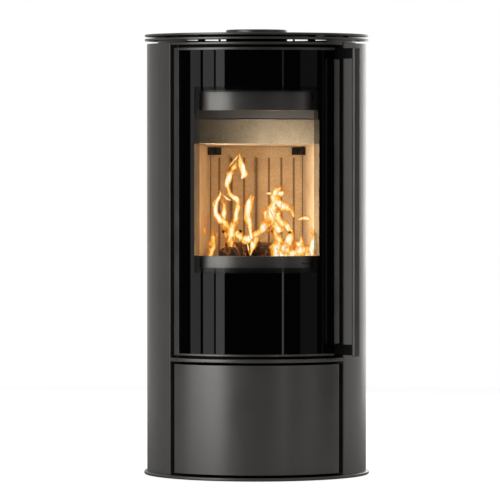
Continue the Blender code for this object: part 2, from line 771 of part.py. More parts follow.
def door_cutters():
    """Openings of the door frame, each as (name, plan outline, z range)."""
    strip_edge = FRONT_ANGLE - DOOR_STRIP_ANGLE
    low, high = DOOR_Z
    window_z = (low + DOOR_RAIL_BOTTOM, high - DOOR_RAIL_TOP)
    rebate_z = (low + 0.0025, high - 0.0033)
    notch = sector(0.2300, 0.2500, 44.6, 50.0)
    half = 0.004
    slot = [Vector((x, -y)) for x, y in ((-half, 0.23), (half, 0.23), (half, 0.241), (-half, 0.241))]
    turn = Matrix.Rotation(math.radians(PIVOT_ANGLE), 2)
    slot = [turn @ point for point in slot]
    pins = circle(PIN_RADIUS + 0.0004, polar(PIVOT_RADIUS, -PIVOT_ANGLE), 24)
    arm = ARM_HEIGHT + 0.0015
    return (
        ("window", sector(0.2200, 0.2500, -strip_edge, strip_edge), window_z),
        ("rebate", sector(0.2200, 0.2408, -45.0, 45.0), rebate_z),
        ("notch_top", notch, (high - arm, high + 0.01)),
        ("notch_bottom", notch, (low - 0.01, low + arm)),
        ("rod_slot", slot, (low + 0.010, high - 0.010)),
        ("pin_bottom", pins, (low - 0.01, low + 0.0105)),
        ("pin_top", pins, (high - 0.0105, high + 0.01)),
    )


def build_door(hinge):
    """Steel door frame, curved glass, rope seal and the strips that hold the glass."""
    outline = sector(DOOR_INNER_RADIUS, CASING_RADIUS, -FRONT_ANGLE, FRONT_ANGLE)
    frame = plate("door_frame", [outline], DOOR_Z, BRIGHT_STEEL)
    for label, shape, z_range in door_cutters():
        cut(frame, plate("cut_door_" + label, [shape], z_range, None, CUTTERS))
    for number, height in enumerate(LATCH_HEIGHTS):
        z_range = (height - 0.012, height + 0.012)
        name = "cut_latch_%d" % number
        cut(frame, radial_box(name, (0.220, 0.234), PIVOT_ANGLE, 0.0036, z_range, None, CUTTERS))
    attach(frame, hinge)

    outline = sector(*GLASS_RADII, -GLASS_ANGLE, GLASS_ANGLE)
    glass = plate("door_glass", [outline], (0.2740, 0.9390), CERAMIC_GLASS)
    attach(glass, hinge)

    seal = plate("door_seal", [sector(0.2256, 0.2325, -44.7, 44.7)], (0.2765, 0.9365), SEAL_ROPE)
    hole = plate("cut_seal", [sector(0.22, 0.24, -42.8, 42.8)], (0.2845, 0.9285), None, CUTTERS)
    cut(seal, hole)
    attach(seal, hinge)

    outline = sector(0.2329, 0.2358, 42.9, 44.7)
    for label, shape in (("right", outline), ("left", mirrored(outline))):
        strip = plate("glass_retainer_" + label, [shape], (0.285, 0.928), BLACK_STEEL)
        attach(strip, hinge)


def arm_outline():
    """Plan of a handle arm: round hub on the pivot and a straight arm outwards."""
    reach = HANDLE_RADIUS - HANDLE_DEPTH / 2 - TOUCH
    side = math.degrees(math.asin(ARM_HALF_WIDTH / HUB_RADIUS))
    hub = []
    for step in range(17):
        angle = math.radians(side + (360.0 - 2 * side) * step / 16)
        hub.append(Vector((-HUB_RADIUS * math.sin(angle), -PIVOT_RADIUS - HUB_RADIUS * math.cos(angle))))
    shape = hub + [Vector((ARM_HALF_WIDTH, -reach)), Vector((-ARM_HALF_WIDTH, -reach))]
    turn = Matrix.Rotation(math.radians(PIVOT_ANGLE), 2)
    return [turn @ point for point in shape]


def build_handle(hinge):
    """Bar handle on two arms, with the latch rod that runs down the door's right strip."""
    place = polar(PIVOT_RADIUS, PIVOT_ANGLE)
    pivot = joint_empty("handle_pivot", (place.x, place.y, DOOR_Z[0]), hinge)
    radii = (HANDLE_RADIUS - HANDLE_DEPTH / 2, HANDLE_RADIUS + HANDLE_DEPTH / 2)
    bar = radial_box("handle_bar", radii, PIVOT_ANGLE, HANDLE_WIDTH / 2, HANDLE_Z, BLACK_STEEL)
    round_edges(bar, 0.002, 3)
    attach(bar, pivot)

    top = (HANDLE_Z[1] - ARM_HEIGHT, HANDLE_Z[1] - 0.0002)
    bottom = (DOOR_Z[0] + 0.001, DOOR_Z[0] + 0.001 + ARM_HEIGHT)
    for label, z_range in (("top", top), ("bottom", bottom)):
        arm = plate("handle_arm_" + label, [arm_outline()], z_range, BLACK_STEEL)
        attach(arm, pivot)

    low = (place.x, place.y, bottom[1] + TOUCH)
    high = (place.x, place.y, top[0] - TOUCH)
    latch = rod("latch_rod", PIN_RADIUS, low, high, ZINC_STEEL)
    for number, height in enumerate(LATCH_HEIGHTS):
        z_range = (height - 0.009, height + 0.009)
        radii = (PIVOT_RADIUS - 0.007, PIVOT_RADIUS)
        name = "add_tongue_%d" % number
        weld_on(latch, radial_box(name, radii, PIVOT_ANGLE, 0.0012, z_range, None, CUTTERS))
    attach(latch, pivot)


def build_keepers():
    """Striker plates on the fixed frame, behind the two latch tongues."""
    for label, height in zip(("bottom", "top"), LATCH_HEIGHTS):
        outline = sector(0.2254, 0.2274, 45.4, 47.5)
        z_range = (height - 0.020, height + 0.020)
        plate("latch_keeper_" + label, [outline], z_range, ZINC_STEEL)


# ---------------------------------------------------------------- assembly
def main():
    """Build the stove."""
    build_base()
    build_side_panels()
    build_back_panel()
    build_top()
    build_flue()
    build_compartment()
    build_drawer()
    build_front_frame()
    build_firebox_shell()
    build_bands()
    build_lining()
    build_baffle()
    build_ash_parts()
    build_air_box()
    build_air_control()
    build_hinge_pins()
    build_keepers()
    hinge_place = polar(PIVOT_RADIUS, -PIVOT_ANGLE)
    hinge = joint_empty("door_hinge", (hinge_place.x, hinge_place.y, DOOR_Z[0]))
    build_door(hinge)
    build_handle(hinge)
    CUTTERS.hide_render = True


main()
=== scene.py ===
"""Looks of a round wood burning stove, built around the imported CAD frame.

Every length is in metres, +Z is up, the stove's axis is x = y = 0 and the door faces -Y.
Plan angles are in degrees from the front (-Y) towards +X.
"""

import logging
import math
from dataclasses import dataclass, field
from enum import Enum
from typing import Sequence

import bmesh
import bpy
import numpy as np
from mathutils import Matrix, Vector


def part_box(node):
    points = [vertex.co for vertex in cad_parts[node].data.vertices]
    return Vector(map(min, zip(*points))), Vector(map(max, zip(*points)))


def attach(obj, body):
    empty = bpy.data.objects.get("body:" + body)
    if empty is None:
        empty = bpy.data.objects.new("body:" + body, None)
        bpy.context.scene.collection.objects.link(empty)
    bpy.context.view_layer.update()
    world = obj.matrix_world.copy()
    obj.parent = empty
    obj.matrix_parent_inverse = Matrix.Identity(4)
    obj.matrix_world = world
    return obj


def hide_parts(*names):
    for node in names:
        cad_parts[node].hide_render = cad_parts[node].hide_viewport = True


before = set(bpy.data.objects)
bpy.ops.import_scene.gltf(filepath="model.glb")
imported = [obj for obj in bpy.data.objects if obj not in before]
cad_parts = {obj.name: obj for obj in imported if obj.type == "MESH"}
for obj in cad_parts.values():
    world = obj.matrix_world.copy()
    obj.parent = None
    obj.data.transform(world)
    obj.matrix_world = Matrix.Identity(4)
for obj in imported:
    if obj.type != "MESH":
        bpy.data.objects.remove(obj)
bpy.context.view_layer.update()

LOG = logging.getLogger("stove")
ARC_STEP = 1.0          # degrees between the columns of a curved sheet
FULL_TURN = 360.0
ROUND_STEPS = 4         # facets in a rounded edge
SHARP_TURN = 40.0       # degrees between two faces from which their edge is shaded sharp
MM = 0.001

Material = bpy.types.Material
Node = bpy.types.Node
Object = bpy.types.Object
Socket = bpy.types.NodeSocket
Tree = bpy.types.NodeTree
Place = Sequence[float]


# ------------------------------------------------------------------------------- frame
def z_range(node: str) -> tuple[float, float]:
    """Lowest and highest Z of a CAD node."""
    low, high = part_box(node)
    return low.z, high.z


def half_width(node: str) -> float:
    """Largest X of a CAD node."""
    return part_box(node)[1].x


# ------------------------------------------------------------------------------ shapes
@dataclass
class Shell:
    """A surface as arrays: points (N, 3) and faces as lists of point numbers."""

    points: np.ndarray
    faces: list

    def __add__(self, other: "Shell") -> "Shell":
        """Both surfaces in one, the other's faces renumbered."""
        shift = len(self.points)
        faces = self.faces + [[i + shift for i in face] for face in other.faces]
        return Shell(np.vstack((self.points, other.points)), faces)

    def turned(self, matrix: np.ndarray, place: Place) -> "Shell":
        """The surface turned by a 3 x 3 matrix and then moved to a place."""
        return Shell(self.points @ matrix.T + np.array(place), self.faces)


def joined(shells: Sequence[Shell]) -> Shell:
    """All the shells of a list in one."""
    total = shells[0]
    for shell in shells[1:]:
        total = total + shell
    return total


def polar(radius: np.ndarray, degrees: np.ndarray) -> np.ndarray:
    """Plan points at a radius and angle: x = r sin a, y = -r cos a."""
    angle = np.radians(degrees)
    return np.stack((radius * np.sin(angle), -radius * np.cos(angle)), axis=-1)


def arc(radius: float, start: float, end: float, step: float = ARC_STEP) -> np.ndarray:
    """Plan points along an arc about the stove's axis."""
    count = max(2, math.ceil(abs(end - start) / step) + 1)
    return polar(radius, np.linspace(start, end, count))


def quads(rows: int, cols: int, wrap_rows: bool, wrap_cols: bool) -> list:
    """Faces of a grid of points whose number is row * cols + column."""
    i = np.arange(rows if wrap_rows else rows - 1)[:, None]
    j = np.arange(cols if wrap_cols else cols - 1)[None, :]
    after_i = (i + 1) % rows
    after_j = (j + 1) % cols
    corners = (i * cols + j, after_i * cols + j, after_i * cols + after_j, i * cols + after_j)
    return np.stack(corners, axis=-1).reshape(-1, 4).tolist()


def end_faces(rows: int, cols: int) -> list:
    """The two faces that close a grid of points at its first and last row."""
    return [list(range(cols)), list(range((rows - 1) * cols, rows * cols))]


def grid_points(plan: np.ndarray, level: np.ndarray) -> np.ndarray:
    """Points (N, 3) from plan points (rows, cols, 2) and heights that fit them."""
    level = np.broadcast_to(level, plan.shape[:2] + (1,))
    return np.concatenate((plan, level), axis=2).reshape(-1, 3)


def rounded(corners: np.ndarray, radius: float, least_turn: float = 20.0) -> np.ndarray:
    """A closed outline with its sharp corners rounded.

    Each corner P that turns by more than least_turn becomes the parabola
    (1-s)^2 A + 2s(1-s) P + s^2 B between the points A and B a radius away along its two sides.

    Args:
        corners: Outline points, (N, 2).
        radius: Distance from a corner at which its rounding starts.
        least_turn: Degrees of turn below which a corner is left alone.

    Returns:
        The new outline's points, (M, 2).
    """
    before = np.roll(corners, 1, axis=0) - corners
    after = np.roll(corners, -1, axis=0) - corners
    length_before = np.linalg.norm(before, axis=1, keepdims=True)
    length_after = np.linalg.norm(after, axis=1, keepdims=True)
    before = before / length_before
    after = after / length_after
    turn = np.degrees(np.arccos(np.clip(-(before * after).sum(axis=1), -1.0, 1.0)))
    reach = np.minimum(radius, 0.45 * np.minimum(length_before, length_after))
    start = (corners + before * reach)[:, None, :]
    end = (corners + after * reach)[:, None, :]
    s = np.linspace(0.0, 1.0, ROUND_STEPS + 1)[None, :, None]
    curve = (1 - s) ** 2 * start + 2 * s * (1 - s) * corners[:, None, :] + s**2 * end
    plain = turn < least_turn
    curve[plain] = corners[plain][:, None, :]
    keep = np.ones(curve.shape[:2], bool)
    keep[plain, 1:] = False
    return curve[keep]


def outward_steps(outline: np.ndarray) -> np.ndarray:
    """Mitred outward direction at each point of a closed outline: where it moves per metre of growth."""
    after = np.roll(outline, -1, axis=0) - outline
    after = after / np.maximum(np.linalg.norm(after, axis=1, keepdims=True), 1e-12)
    normal = np.stack((after[:, 1], -after[:, 0]), axis=1)
    x, y = outline[:, 0], outline[:, 1]
    area = float(np.sum(x * np.roll(y, -1) - np.roll(x, -1) * y))
    normal = normal * math.copysign(1.0, area)
    total = normal + np.roll(normal, 1, axis=0)
    return total / np.maximum((total**2).sum(axis=1, keepdims=True) / 2, 0.5)


def upright(outline: np.ndarray, low: float, high: float, edge: float = 0.4 * MM) -> Shell:
    """A plan outline carried up Z, its two rims rounded by a quarter circle of radius edge."""
    quarter = np.linspace(0.0, math.pi / 2, ROUND_STEPS)
    inset = edge * (1 - np.sin(quarter))
    rise = edge * (1 - np.cos(quarter))
    insets = np.concatenate((inset, inset[::-1]))
    heights = np.concatenate((low + rise, (high - rise)[::-1]))
    plan = outline[None, :, :] - outward_steps(outline)[None, :, :] * insets[:, None, None]
    rows, cols = plan.shape[:2]
    faces = quads(rows, cols, False, True) + end_faces(rows, cols)
    return Shell(grid_points(plan, heights[:, None, None]), faces)


def swept(profile: np.ndarray, start: float = 0.0, end: float = FULL_TURN, step: float = ARC_STEP) -> Shell:
    """A closed profile of (radius, z) points carried round the stove's axis.

    The point at angle a is (r sin a, -r cos a, z). A part turn is closed by its two end faces.
    """
    full = abs(end - start) >= FULL_TURN
    count = max(3, math.ceil(abs(end - start) / step) + (0 if full else 1))
    angles = np.linspace(start, end, count, endpoint=not full)
    plan = polar(profile[None, :, 0], angles[:, None])
    cols = len(profile)
    faces = quads(count, cols, full, True)
    if not full:
        faces += end_faces(count, cols)
    return Shell(grid_points(plan, profile[None, :, 1:]), faces)


def box_profile(inner: float, outer: float, low: float, high: float, edge: float = 0.4 * MM) -> np.ndarray:
    """Rounded rectangle between two radii and two heights."""
    corners = np.array([(outer, high), (outer, low), (inner, low), (inner, high)])
    return rounded(corners, edge)


def solid_profile(corners: Sequence[tuple[float, float]], edge: float) -> np.ndarray:
    """Rounded profile of (radius, height) corners whose ends on the axis stay on it."""
    profile = rounded(np.array(corners), edge)
    profile[profile[:, 0] < edge + 0.1 * MM, 0] = 0.0
    return profile


def drill(radius: float, length: float) -> np.ndarray:
    """Profile of a plain rod that stands on the origin."""
    return np.array([(0.0, length), (radius, length), (radius, 0.0), (0.0, 0.0)])


def band(inner: float, outer: float, start: float, end: float, edge: float = 0.0) -> np.ndarray:
    """Plan outline of a curved strip, with rounded corners where edge is given."""
    outline = np.vstack((arc(outer, start, end), arc(inner, end, start)))
    return rounded(outline, edge, 45.0) if edge else outline


def mirrored(outline: np.ndarray) -> np.ndarray:
    """The same plan outline on the other side of the YZ plane."""
    return outline[::-1] * np.array((-1.0, 1.0))


def block(low: Place, high: Place, edge: float = 0.6 * MM) -> Shell:
    """Straight block between two corners with rounded edges."""
    corners = np.array([(low[0], low[1]), (high[0], low[1]), (high[0], high[1]), (low[0], high[1])])
    return upright(rounded(corners, edge), low[2], high[2], edge)


def turned_along(profile: np.ndarray, place: Place, direction: Place, sides: int = 48) -> Shell:
    """A closed profile of (radius, height) points turned about a line through a place."""
    shell = swept(profile, step=FULL_TURN / sides)
    turn = Vector((0.0, 0.0, 1.0)).rotation_difference(Vector(direction)).to_matrix()
    return shell.turned(np.array(turn), place)


# --------------------------------------------------------------------------- materials
def linear(hex_colour: str) -> tuple[float, float, float, float]:
    """An sRGB hex colour as linear RGBA."""
    values = [int(hex_colour[i : i + 2], 16) / 255 for i in (1, 3, 5)]
    lin = [v / 12.92 if v <= 0.04045 else ((v + 0.055) / 1.055) ** 2.4 for v in values]
    return (lin[0], lin[1], lin[2], 1.0)


def add_node(tree: Tree, kind: str, values: dict | None = None, links: dict | None = None,
             **settings: object) -> Node:
    """Add one shader node.

    Args:
        tree: Node tree of the material.
        kind: Node type without its ShaderNode prefix.
        values: Input name or number to its constant.
        links: Input name or number to the output socket that feeds it.
        settings: Attributes of the node itself.

    Returns:
        The new node.
    """
    node = tree.nodes.new("ShaderNode" + kind)
    for key, value in settings.items():
        setattr(node, key, value)
    for key, value in (values or {}).items():
        node.inputs[key].default_value = value
    for key, socket in (links or {}).items():
        tree.links.new(socket, node.inputs[key])
    return node


def new_material(name: str) -> tuple[Material, Tree, Node]:
    """A material, its node tree and its Principled shader."""
    material = bpy.data.materials.new(name)
    material.use_nodes = True
    tree = material.node_tree
    return material, tree, tree.nodes["Principled BSDF"]


def ramp(tree: Tree, factor: Socket, stops: Sequence[tuple]) -> Socket:
    """Colour ramp whose stops are (position, rgba)."""
    node = add_node(tree, "ValToRGB", links={0: factor})
    elements = node.color_ramp.elements
    while len(elements) < len(stops):
        elements.new(0.5)
    for element, (position, colour) in zip(elements, stops):
        element.position = position
        element.color = colour
    return node.outputs[0]


def math_node(tree: Tree, operation: str, *inputs: object) -> Socket:
    """A Math node whose inputs are numbers or sockets."""
    node = add_node(tree, "Math", operation=operation)
    for number, value in enumerate(inputs):
        if isinstance(value, Socket):
            tree.links.new(value, node.inputs[number])
        else:
            node.inputs[number].default_value = value
    return node.outputs[0]


def noise(tree: Tree, vector: Socket, size_mm: float, detail: float = 2.0,
          distortion: float = 0.0) -> Socket:
    """Noise whose patches have this size."""
    values = {"Scale": 1 / (size_mm * MM), "Detail": detail, "Distortion": distortion}
    return add_node(tree, "TexNoise", values=values, links={"Vector": vector}).outputs[0]


def map_range(tree: Tree, value: Socket, start: tuple[float, float],
              end: tuple[float, float] = (0.0, 1.0), **settings: object) -> Socket:
    """A value carried from one range to another and kept inside it."""
    values = {"From Min": start[0], "From Max": start[1], "To Min": end[0], "To Max": end[1]}
    return add_node(tree, "MapRange", values=values, links={"Value": value}, **settings).outputs[0]


def raise_surface(tree: Tree, shader: Node, height: Socket,
                  strength: float, rise_mm: float) -> None:
    """Bump a shader's surface by a height."""
    values = {"Strength": strength, "Distance": rise_mm * MM}
    bump = add_node(tree, "Bump", values=values, links={"Height": height})
    tree.links.new(bump.outputs[0], shader.inputs["Normal"])


@dataclass(frozen=True)
class CoatedMetal:
    """Metal sheet under a thin finish: sprayed paint, zinc plating or brushing.

    Attributes:
        name: Material name.
        light: Colour of the grain's high spots.
        dark: Colour of the grain's low spots.
        roughness: Lowest and highest roughness of the blotches.
        metallic: How much metal the finish lets through.
        grain_mm: Size of the surface grain.
        grain_height_mm: Height of the grain.
        blotch_mm: Size of the slow colour changes.
        stretch: How much the grain is drawn out along each axis.
    """

    name: str
    light: str
    dark: str
    roughness: tuple[float, float]
    metallic: float
    grain_mm: float
    grain_height_mm: float
    blotch_mm: float = 60.0
    stretch: tuple[float, float, float] = (1.0, 1.0, 1.0)

    def build(self) -> Material:
        """Make the material."""
        material, tree, shader = new_material(self.name)
        place = add_node(tree, "TexCoord").outputs["Object"]
        drawn = add_node(tree, "Mapping", values={"Scale": self.stretch}, links={"Vector": place}).outputs[0]
        grain = noise(tree, drawn, self.grain_mm, 3.0)
        blotch = noise(tree, place, self.blotch_mm)
        mixed = math_node(tree, "MULTIPLY_ADD", grain, 0.45, math_node(tree, "MULTIPLY", blotch, 0.55))
        colour = ramp(tree, mixed, ((0.35, linear(self.dark)), (0.65, linear(self.light))))
        tree.links.new(colour, shader.inputs["Base Color"])
        tree.links.new(map_range(tree, blotch, (0.35, 0.65), self.roughness), shader.inputs["Roughness"])
        shader.inputs["Metallic"].default_value = self.metallic
        raise_surface(tree, shader, grain, 0.35, self.grain_height_mm)
        return material


@dataclass(frozen=True)
class PressedBoard:
    """Vermiculite board: pressed flakes with pale mica glints, and painted shade in and beside its grooves
    where it has them.

    Attributes:
        name: Material name.
        light: Colour of most flakes.
        dark: Colour of the darkest flakes.
        mica: Colour of the glints.
        flake_mm: Size of a flake.
        cloud_mm: Size of the slow colour changes.
        groove_pitch: Distance between grooves, 0 for none.
        groove_top: Height where they end.
    """

    name: str = "pressed_vermiculite"
    light: str = "#dcc6a4"
    dark: str = "#c3a67f"
    mica: str = "#eddcb8"
    flake_mm: float = 2.0
    cloud_mm: float = 45.0
    groove_pitch: float = 0.0
    groove_top: float = 0.0

    def build(self) -> Material:
        """Make the material."""
        material, tree, shader = new_material(self.name)
        place = add_node(tree, "TexCoord").outputs["Object"]
        scale = {"Scale": 1 / (self.flake_mm * MM)}
        flakes = add_node(tree, "TexVoronoi", values=scale, links={"Vector": place})
        cloud = math_node(tree, "MULTIPLY", noise(tree, place, self.cloud_mm, 4.0), 0.6)
        tone = math_node(tree, "MULTIPLY_ADD", flakes.outputs["Color"], 0.4, cloud)
        stops = ((0.25, linear(self.dark)), (0.6, linear(self.light)), (0.85, linear(self.mica)))
        colour = ramp(tree, tone, stops)
        # Painted shade in and beside the grooves, mixed into the flake colour.
        if self.groove_pitch > 0:
            colour = self.painted_groove_shade(tree, colour, place)
        tree.links.new(colour, shader.inputs["Base Color"])
        shader.inputs["Roughness"].default_value = 0.88
        raise_surface(tree, shader, flakes.outputs["Distance"], 0.3, 0.3)
        return material

    def painted_groove_shade(self, tree: Tree, colour: Socket,
               place: Socket) -> Socket:
        """Painted shade: darken a band in and around each upright groove, below where the grooves end."""
        split = add_node(tree, "SeparateXYZ", links={0: place})
        across = math_node(tree, "PINGPONG", split.outputs["X"], self.groove_pitch / 2)
        near = map_range(tree, across, (1.5 * MM, 3.2 * MM), (0.8, 0.0))
        low = math_node(tree, "LESS_THAN", split.outputs["Z"], self.groove_top)
        # Painted shade colour, mixed in near each groove below groove_top.
        mix = add_node(
            tree, "MixRGB", values={"Color2": linear("#6a4a2c")},
            links={"Fac": math_node(tree, "MULTIPLY", near, low), "Color1": colour},
        )
        return mix.outputs[0]


@dataclass(frozen=True)
class PrintedGlass:
    """Glass ceramic pane with black enamel fired on: clear window, half tone edge, solid surround.

    Attributes:
        name: Material name.
        clear_half_width: Half width of the clear window.
        clear_z: Heights of the clear window.
        half_tone: Width of the half tone border.
    """

    clear_half_width: float
    clear_z: tuple[float, float]
    half_tone: float
    name: str = "enamelled_glass_ceramic"

    def build(self) -> Material:
        """Make the material: opacity is stepped by the distance outside the clear window."""
        material, tree, shader = new_material(self.name)
        place = add_node(tree, "TexCoord").outputs["Object"]
        split = add_node(tree, "SeparateXYZ", links={0: place})
        middle = sum(self.clear_z) / 2
        half_height = (self.clear_z[1] - self.clear_z[0]) / 2
        beside = math_node(
            tree, "SUBTRACT", math_node(tree, "ABSOLUTE", split.outputs["X"]), self.clear_half_width
        )
        above = math_node(tree, "ABSOLUTE", math_node(tree, "SUBTRACT", split.outputs["Z"], middle))
        above = math_node(tree, "SUBTRACT", above, half_height)
        outside = math_node(tree, "MAXIMUM", beside, above)
        inner_edge = math_node(tree, "GREATER_THAN", outside, 0.0)
        outer_edge = math_node(tree, "GREATER_THAN", outside, self.half_tone)
        opacity = math_node(tree, "MULTIPLY_ADD", inner_edge, 0.37, 0.05)
        opacity = math_node(tree, "MAXIMUM", opacity, outer_edge)
        tree.links.new(opacity, shader.inputs["Alpha"])
        shader.inputs["Base Color"].default_value = linear("#060606")
        shader.inputs["Roughness"].default_value = 0.03
        shader.inputs["IOR"].default_value = 1.54
        return material


@dataclass(frozen=True)
class BraidedRope:
    """Knitted glass fibre rope: dark grey strands that cross every few millimetres."""

    name: str = "knitted_glass_fibre"
    strand_mm: float = 2.5

    def build(self) -> Material:
        """Make the material."""
        material, tree, shader = new_material(self.name)
        place = add_node(tree, "TexCoord").outputs["Object"]
        scale = 1 / (self.strand_mm * MM * 6)
        braid = [
            add_node(
                tree, "TexWave", values={"Scale": scale, "Distortion": 0.6},
                links={"Vector": add_node(
                    tree, "Mapping", values={"Rotation": (0.0, turn, 0.0)}, links={"Vector": place}
                ).outputs[0]},
            ).outputs["Fac"]
            for turn in (math.radians(45), math.radians(-45))
        ]
        weave = math_node(tree, "MAXIMUM", *braid)
        colour = ramp(tree, weave, ((0.3, linear("#2c2b29")), (0.9, linear("#6f6d69"))))
        tree.links.new(colour, shader.inputs["Base Color"])
        shader.inputs["Roughness"].default_value = 0.95
        raise_surface(tree, shader, weave, 0.8, 0.8)
        return material


class Finish(Enum):
    """The stove's finishes, by what they are in the workshop."""

    # Stove paint with metal flake, sprayed and stoved: dark grey, with a long soft glow down each curve.
    CASING_PAINT = CoatedMetal("sprayed_stove_paint_grey", "#b4b2af", "#adaba8", (0.33, 0.36), 0.88, 1.6,
                               0.04)
    # The same paint rolled thin on the bands behind the glass, polished by wiping.
    BAND_PAINT = CoatedMetal("wiped_stove_paint_grey", "#c2bfbb", "#b8b5b1", (0.30, 0.34), 0.92, 1.6, 0.02)
    # Plain matt black stove paint: hardly any glow.
    BLACK_PAINT = CoatedMetal("sprayed_stove_paint_black", "#1a1a19", "#121212", (0.5, 0.6), 0.1, 1.6, 0.05)
    # Powder coat on the handle's arms: nearly black, with a clean edge highlight.
    HANDLE_ENAMEL = CoatedMetal("powder_coated_black", "#1b1b1a", "#151514", (0.34, 0.40), 0.2, 1.2, 0.02)
    # Steel brushed along its length and darkened, so highlights stretch crosswise.
    DOOR_STEEL = CoatedMetal("brushed_dark_steel", "#b0aeaa", "#a3a19d", (0.32, 0.36), 0.92, 1.4, 0.02,
                             stretch=(1.0, 1.0, 0.04))
    # Bright zinc plate: bluish grey, cloudy spangle.
    ZINC = CoatedMetal("zinc_plated_sheet", "#b9bcbc", "#9a9d9f", (0.3, 0.45), 0.9, 6.0, 0.02, 25.0)
    # Mild steel strip inside the fire: mill scale dulled by a film of fly ash.
    ASHED_STEEL = CoatedMetal("ash_filmed_steel", "#a5a099", "#928d86", (0.42, 0.52), 0.4, 1.6, 0.04)
    # Ground pin steel, blued by heat and oil.
    PIN_STEEL = CoatedMetal("oiled_pin_steel", "#565350", "#3f3d3b", (0.3, 0.4), 0.9, 1.2, 0.02)
    # Sand cast iron: coarse grain, heat greyed.
    IRON = CoatedMetal("sand_cast_iron", "#3b3937", "#232221", (0.65, 0.85), 0.3, 1.8, 0.4)
    # Vermiculite board: flakes hot pressed with a binder and left bare.
    BOARD = PressedBoard()
    # The same board with milled grooves, and painted shade darkening them and a band beside each.
    GROOVED_BOARD = PressedBoard("pressed_vermiculite_grooved", groove_pitch=28 * MM, groove_top=0.702)
    # The same board in darker, greyer flakes, for the baffle.
    DARKER_BOARD = PressedBoard("darker_vermiculite", "#b8a88e", "#9e8d74", "#c4b59c")
    # Glass fibre rope, knitted over a soft core and left bare.
    ROPE = BraidedRope()


class Palette:
    """Builds each finish once and hands out its material."""

    def __init__(self) -> None:
        """Start with nothing built."""
        self._made: dict[str, Material] = {}

    def get(self, finish: object) -> Material:
        """The material of a finish, made the first time it is asked for."""
        recipe = finish.value if isinstance(finish, Enum) else finish
        if recipe.name not in self._made:
            self._made[recipe.name] = recipe.build()
        return self._made[recipe.name]


PALETTE = Palette()


# ----------------------------------------------------------------------------- pieces
def new_object(name: str, data: bpy.types.ID) -> Object:
    """A new object in the scene, at the origin."""
    obj = bpy.data.objects.new(name, data)
    bpy.context.scene.collection.objects.link(obj)
    return obj


def area_light(name: str, size: tuple[float, float], power: float, place: Place,
               turn: tuple[float, float], colour: str = "#ffffff") -> Object:
    """Rectangular light that the camera doesn't see.

    Args:
        name: Light name.
        size: Width and height.
        power: Watts.
        place: Its middle.
        turn: Degrees that it is tipped up from facing the floor, and then turned in plan.
        colour: Hex colour.

    Returns:
        The light's object.
    """
    light = bpy.data.lights.new(name, "AREA")
    light.shape = "RECTANGLE"
    light.size, light.size_y = size
    light.energy = power
    light.color = linear(colour)[:3]
    obj = new_object(name, light)
    obj.location = place
    obj.rotation_euler = (math.radians(turn[0]), 0.0, math.radians(turn[1]))
    obj.visible_camera = False
    return obj


def shade_round(mesh: bpy.types.Mesh) -> None:
    """Shade a mesh smooth except across its sharp edges."""
    mesh.shade_smooth()
    mesh.set_sharp_from_angle(angle=math.radians(SHARP_TURN))


def make_mesh(name: str, shell: Shell) -> Object:
    """A closed, outward facing, smooth shaded mesh object from a shell."""
    mesh = bpy.data.meshes.new(name)
    mesh.from_pydata(shell.points.tolist(), [], shell.faces)
    work = bmesh.new()
    work.from_mesh(mesh)
    bmesh.ops.remove_doubles(work, verts=work.verts, dist=1e-7)
    bmesh.ops.recalc_face_normals(work, faces=work.faces)
    work.to_mesh(mesh)
    work.free()
    shade_round(mesh)
    return new_object(name, mesh)


def add_piece(name: str, shell: Shell, body: str, slot: str, finish: object, *stands_for: str,
              cutters: Sequence[Shell] = ()) -> Object:
    """Make one visible piece.

    Args:
        name: Piece name.
        shell: Its surface.
        body: CAD body that it moves with.
        slot: Material slot of the record; not used.
        finish: Finish or recipe of its material.
        stands_for: CAD nodes that it replaces.
        cutters: Closed shells whose volume is cut out of it.

    Returns:
        The piece's object.
    """
    piece = make_mesh(name, shell)
    if cutters:
        cut_away(piece, cutters)
    piece.data.materials.clear()
    piece.data.materials.append(PALETTE.get(finish))
    even = piece.modifiers.new("even_normals", "WEIGHTED_NORMAL")
    even.keep_sharp = True
    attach(piece, body)
    if stands_for:
        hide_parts(*stands_for)
    LOG.info("%s: %d faces on %s", name, len(piece.data.polygons), body)
    return piece


def casing_piece(name: str, shell: Shell, *stands_for: str, body: str = "stove",
                 cutters: Sequence[Shell] = ()) -> Object:
    """A piece in the casing's paint."""
    return add_piece(name, shell, body, "casing_paint", Finish.CASING_PAINT, *stands_for, cutters=cutters)


def black_piece(name: str, shell: Shell, *stands_for: str, body: str = "stove") -> Object:
    """A piece in matt black paint."""
    return add_piece(name, shell, body, "black_steel", Finish.BLACK_PAINT, *stands_for)


def cut_away(piece: Object, cutters: Sequence[Shell]) -> None:
    """Take the cutters' volume out of a piece and leave it a plain mesh."""
    helper = make_mesh(piece.name + "_cutter", joined(cutters))
    modifier = piece.modifiers.new("openings", "BOOLEAN")
    modifier.operation = "DIFFERENCE"
    modifier.solver = "EXACT"
    modifier.use_self = True
    modifier.object = helper
    evaluated = piece.evaluated_get(bpy.context.evaluated_depsgraph_get())
    cut = bpy.data.meshes.new_from_object(evaluated)
    piece.modifiers.clear()
    piece.data = cut
    shade_round(cut)
    bpy.data.objects.remove(helper, do_unlink=True)


def dress(node: str, finish: object) -> None:
    """Give a CAD node that stays in view its finish."""
    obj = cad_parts[node]
    obj.data.materials.clear()
    obj.data.materials.append(PALETTE.get(finish))


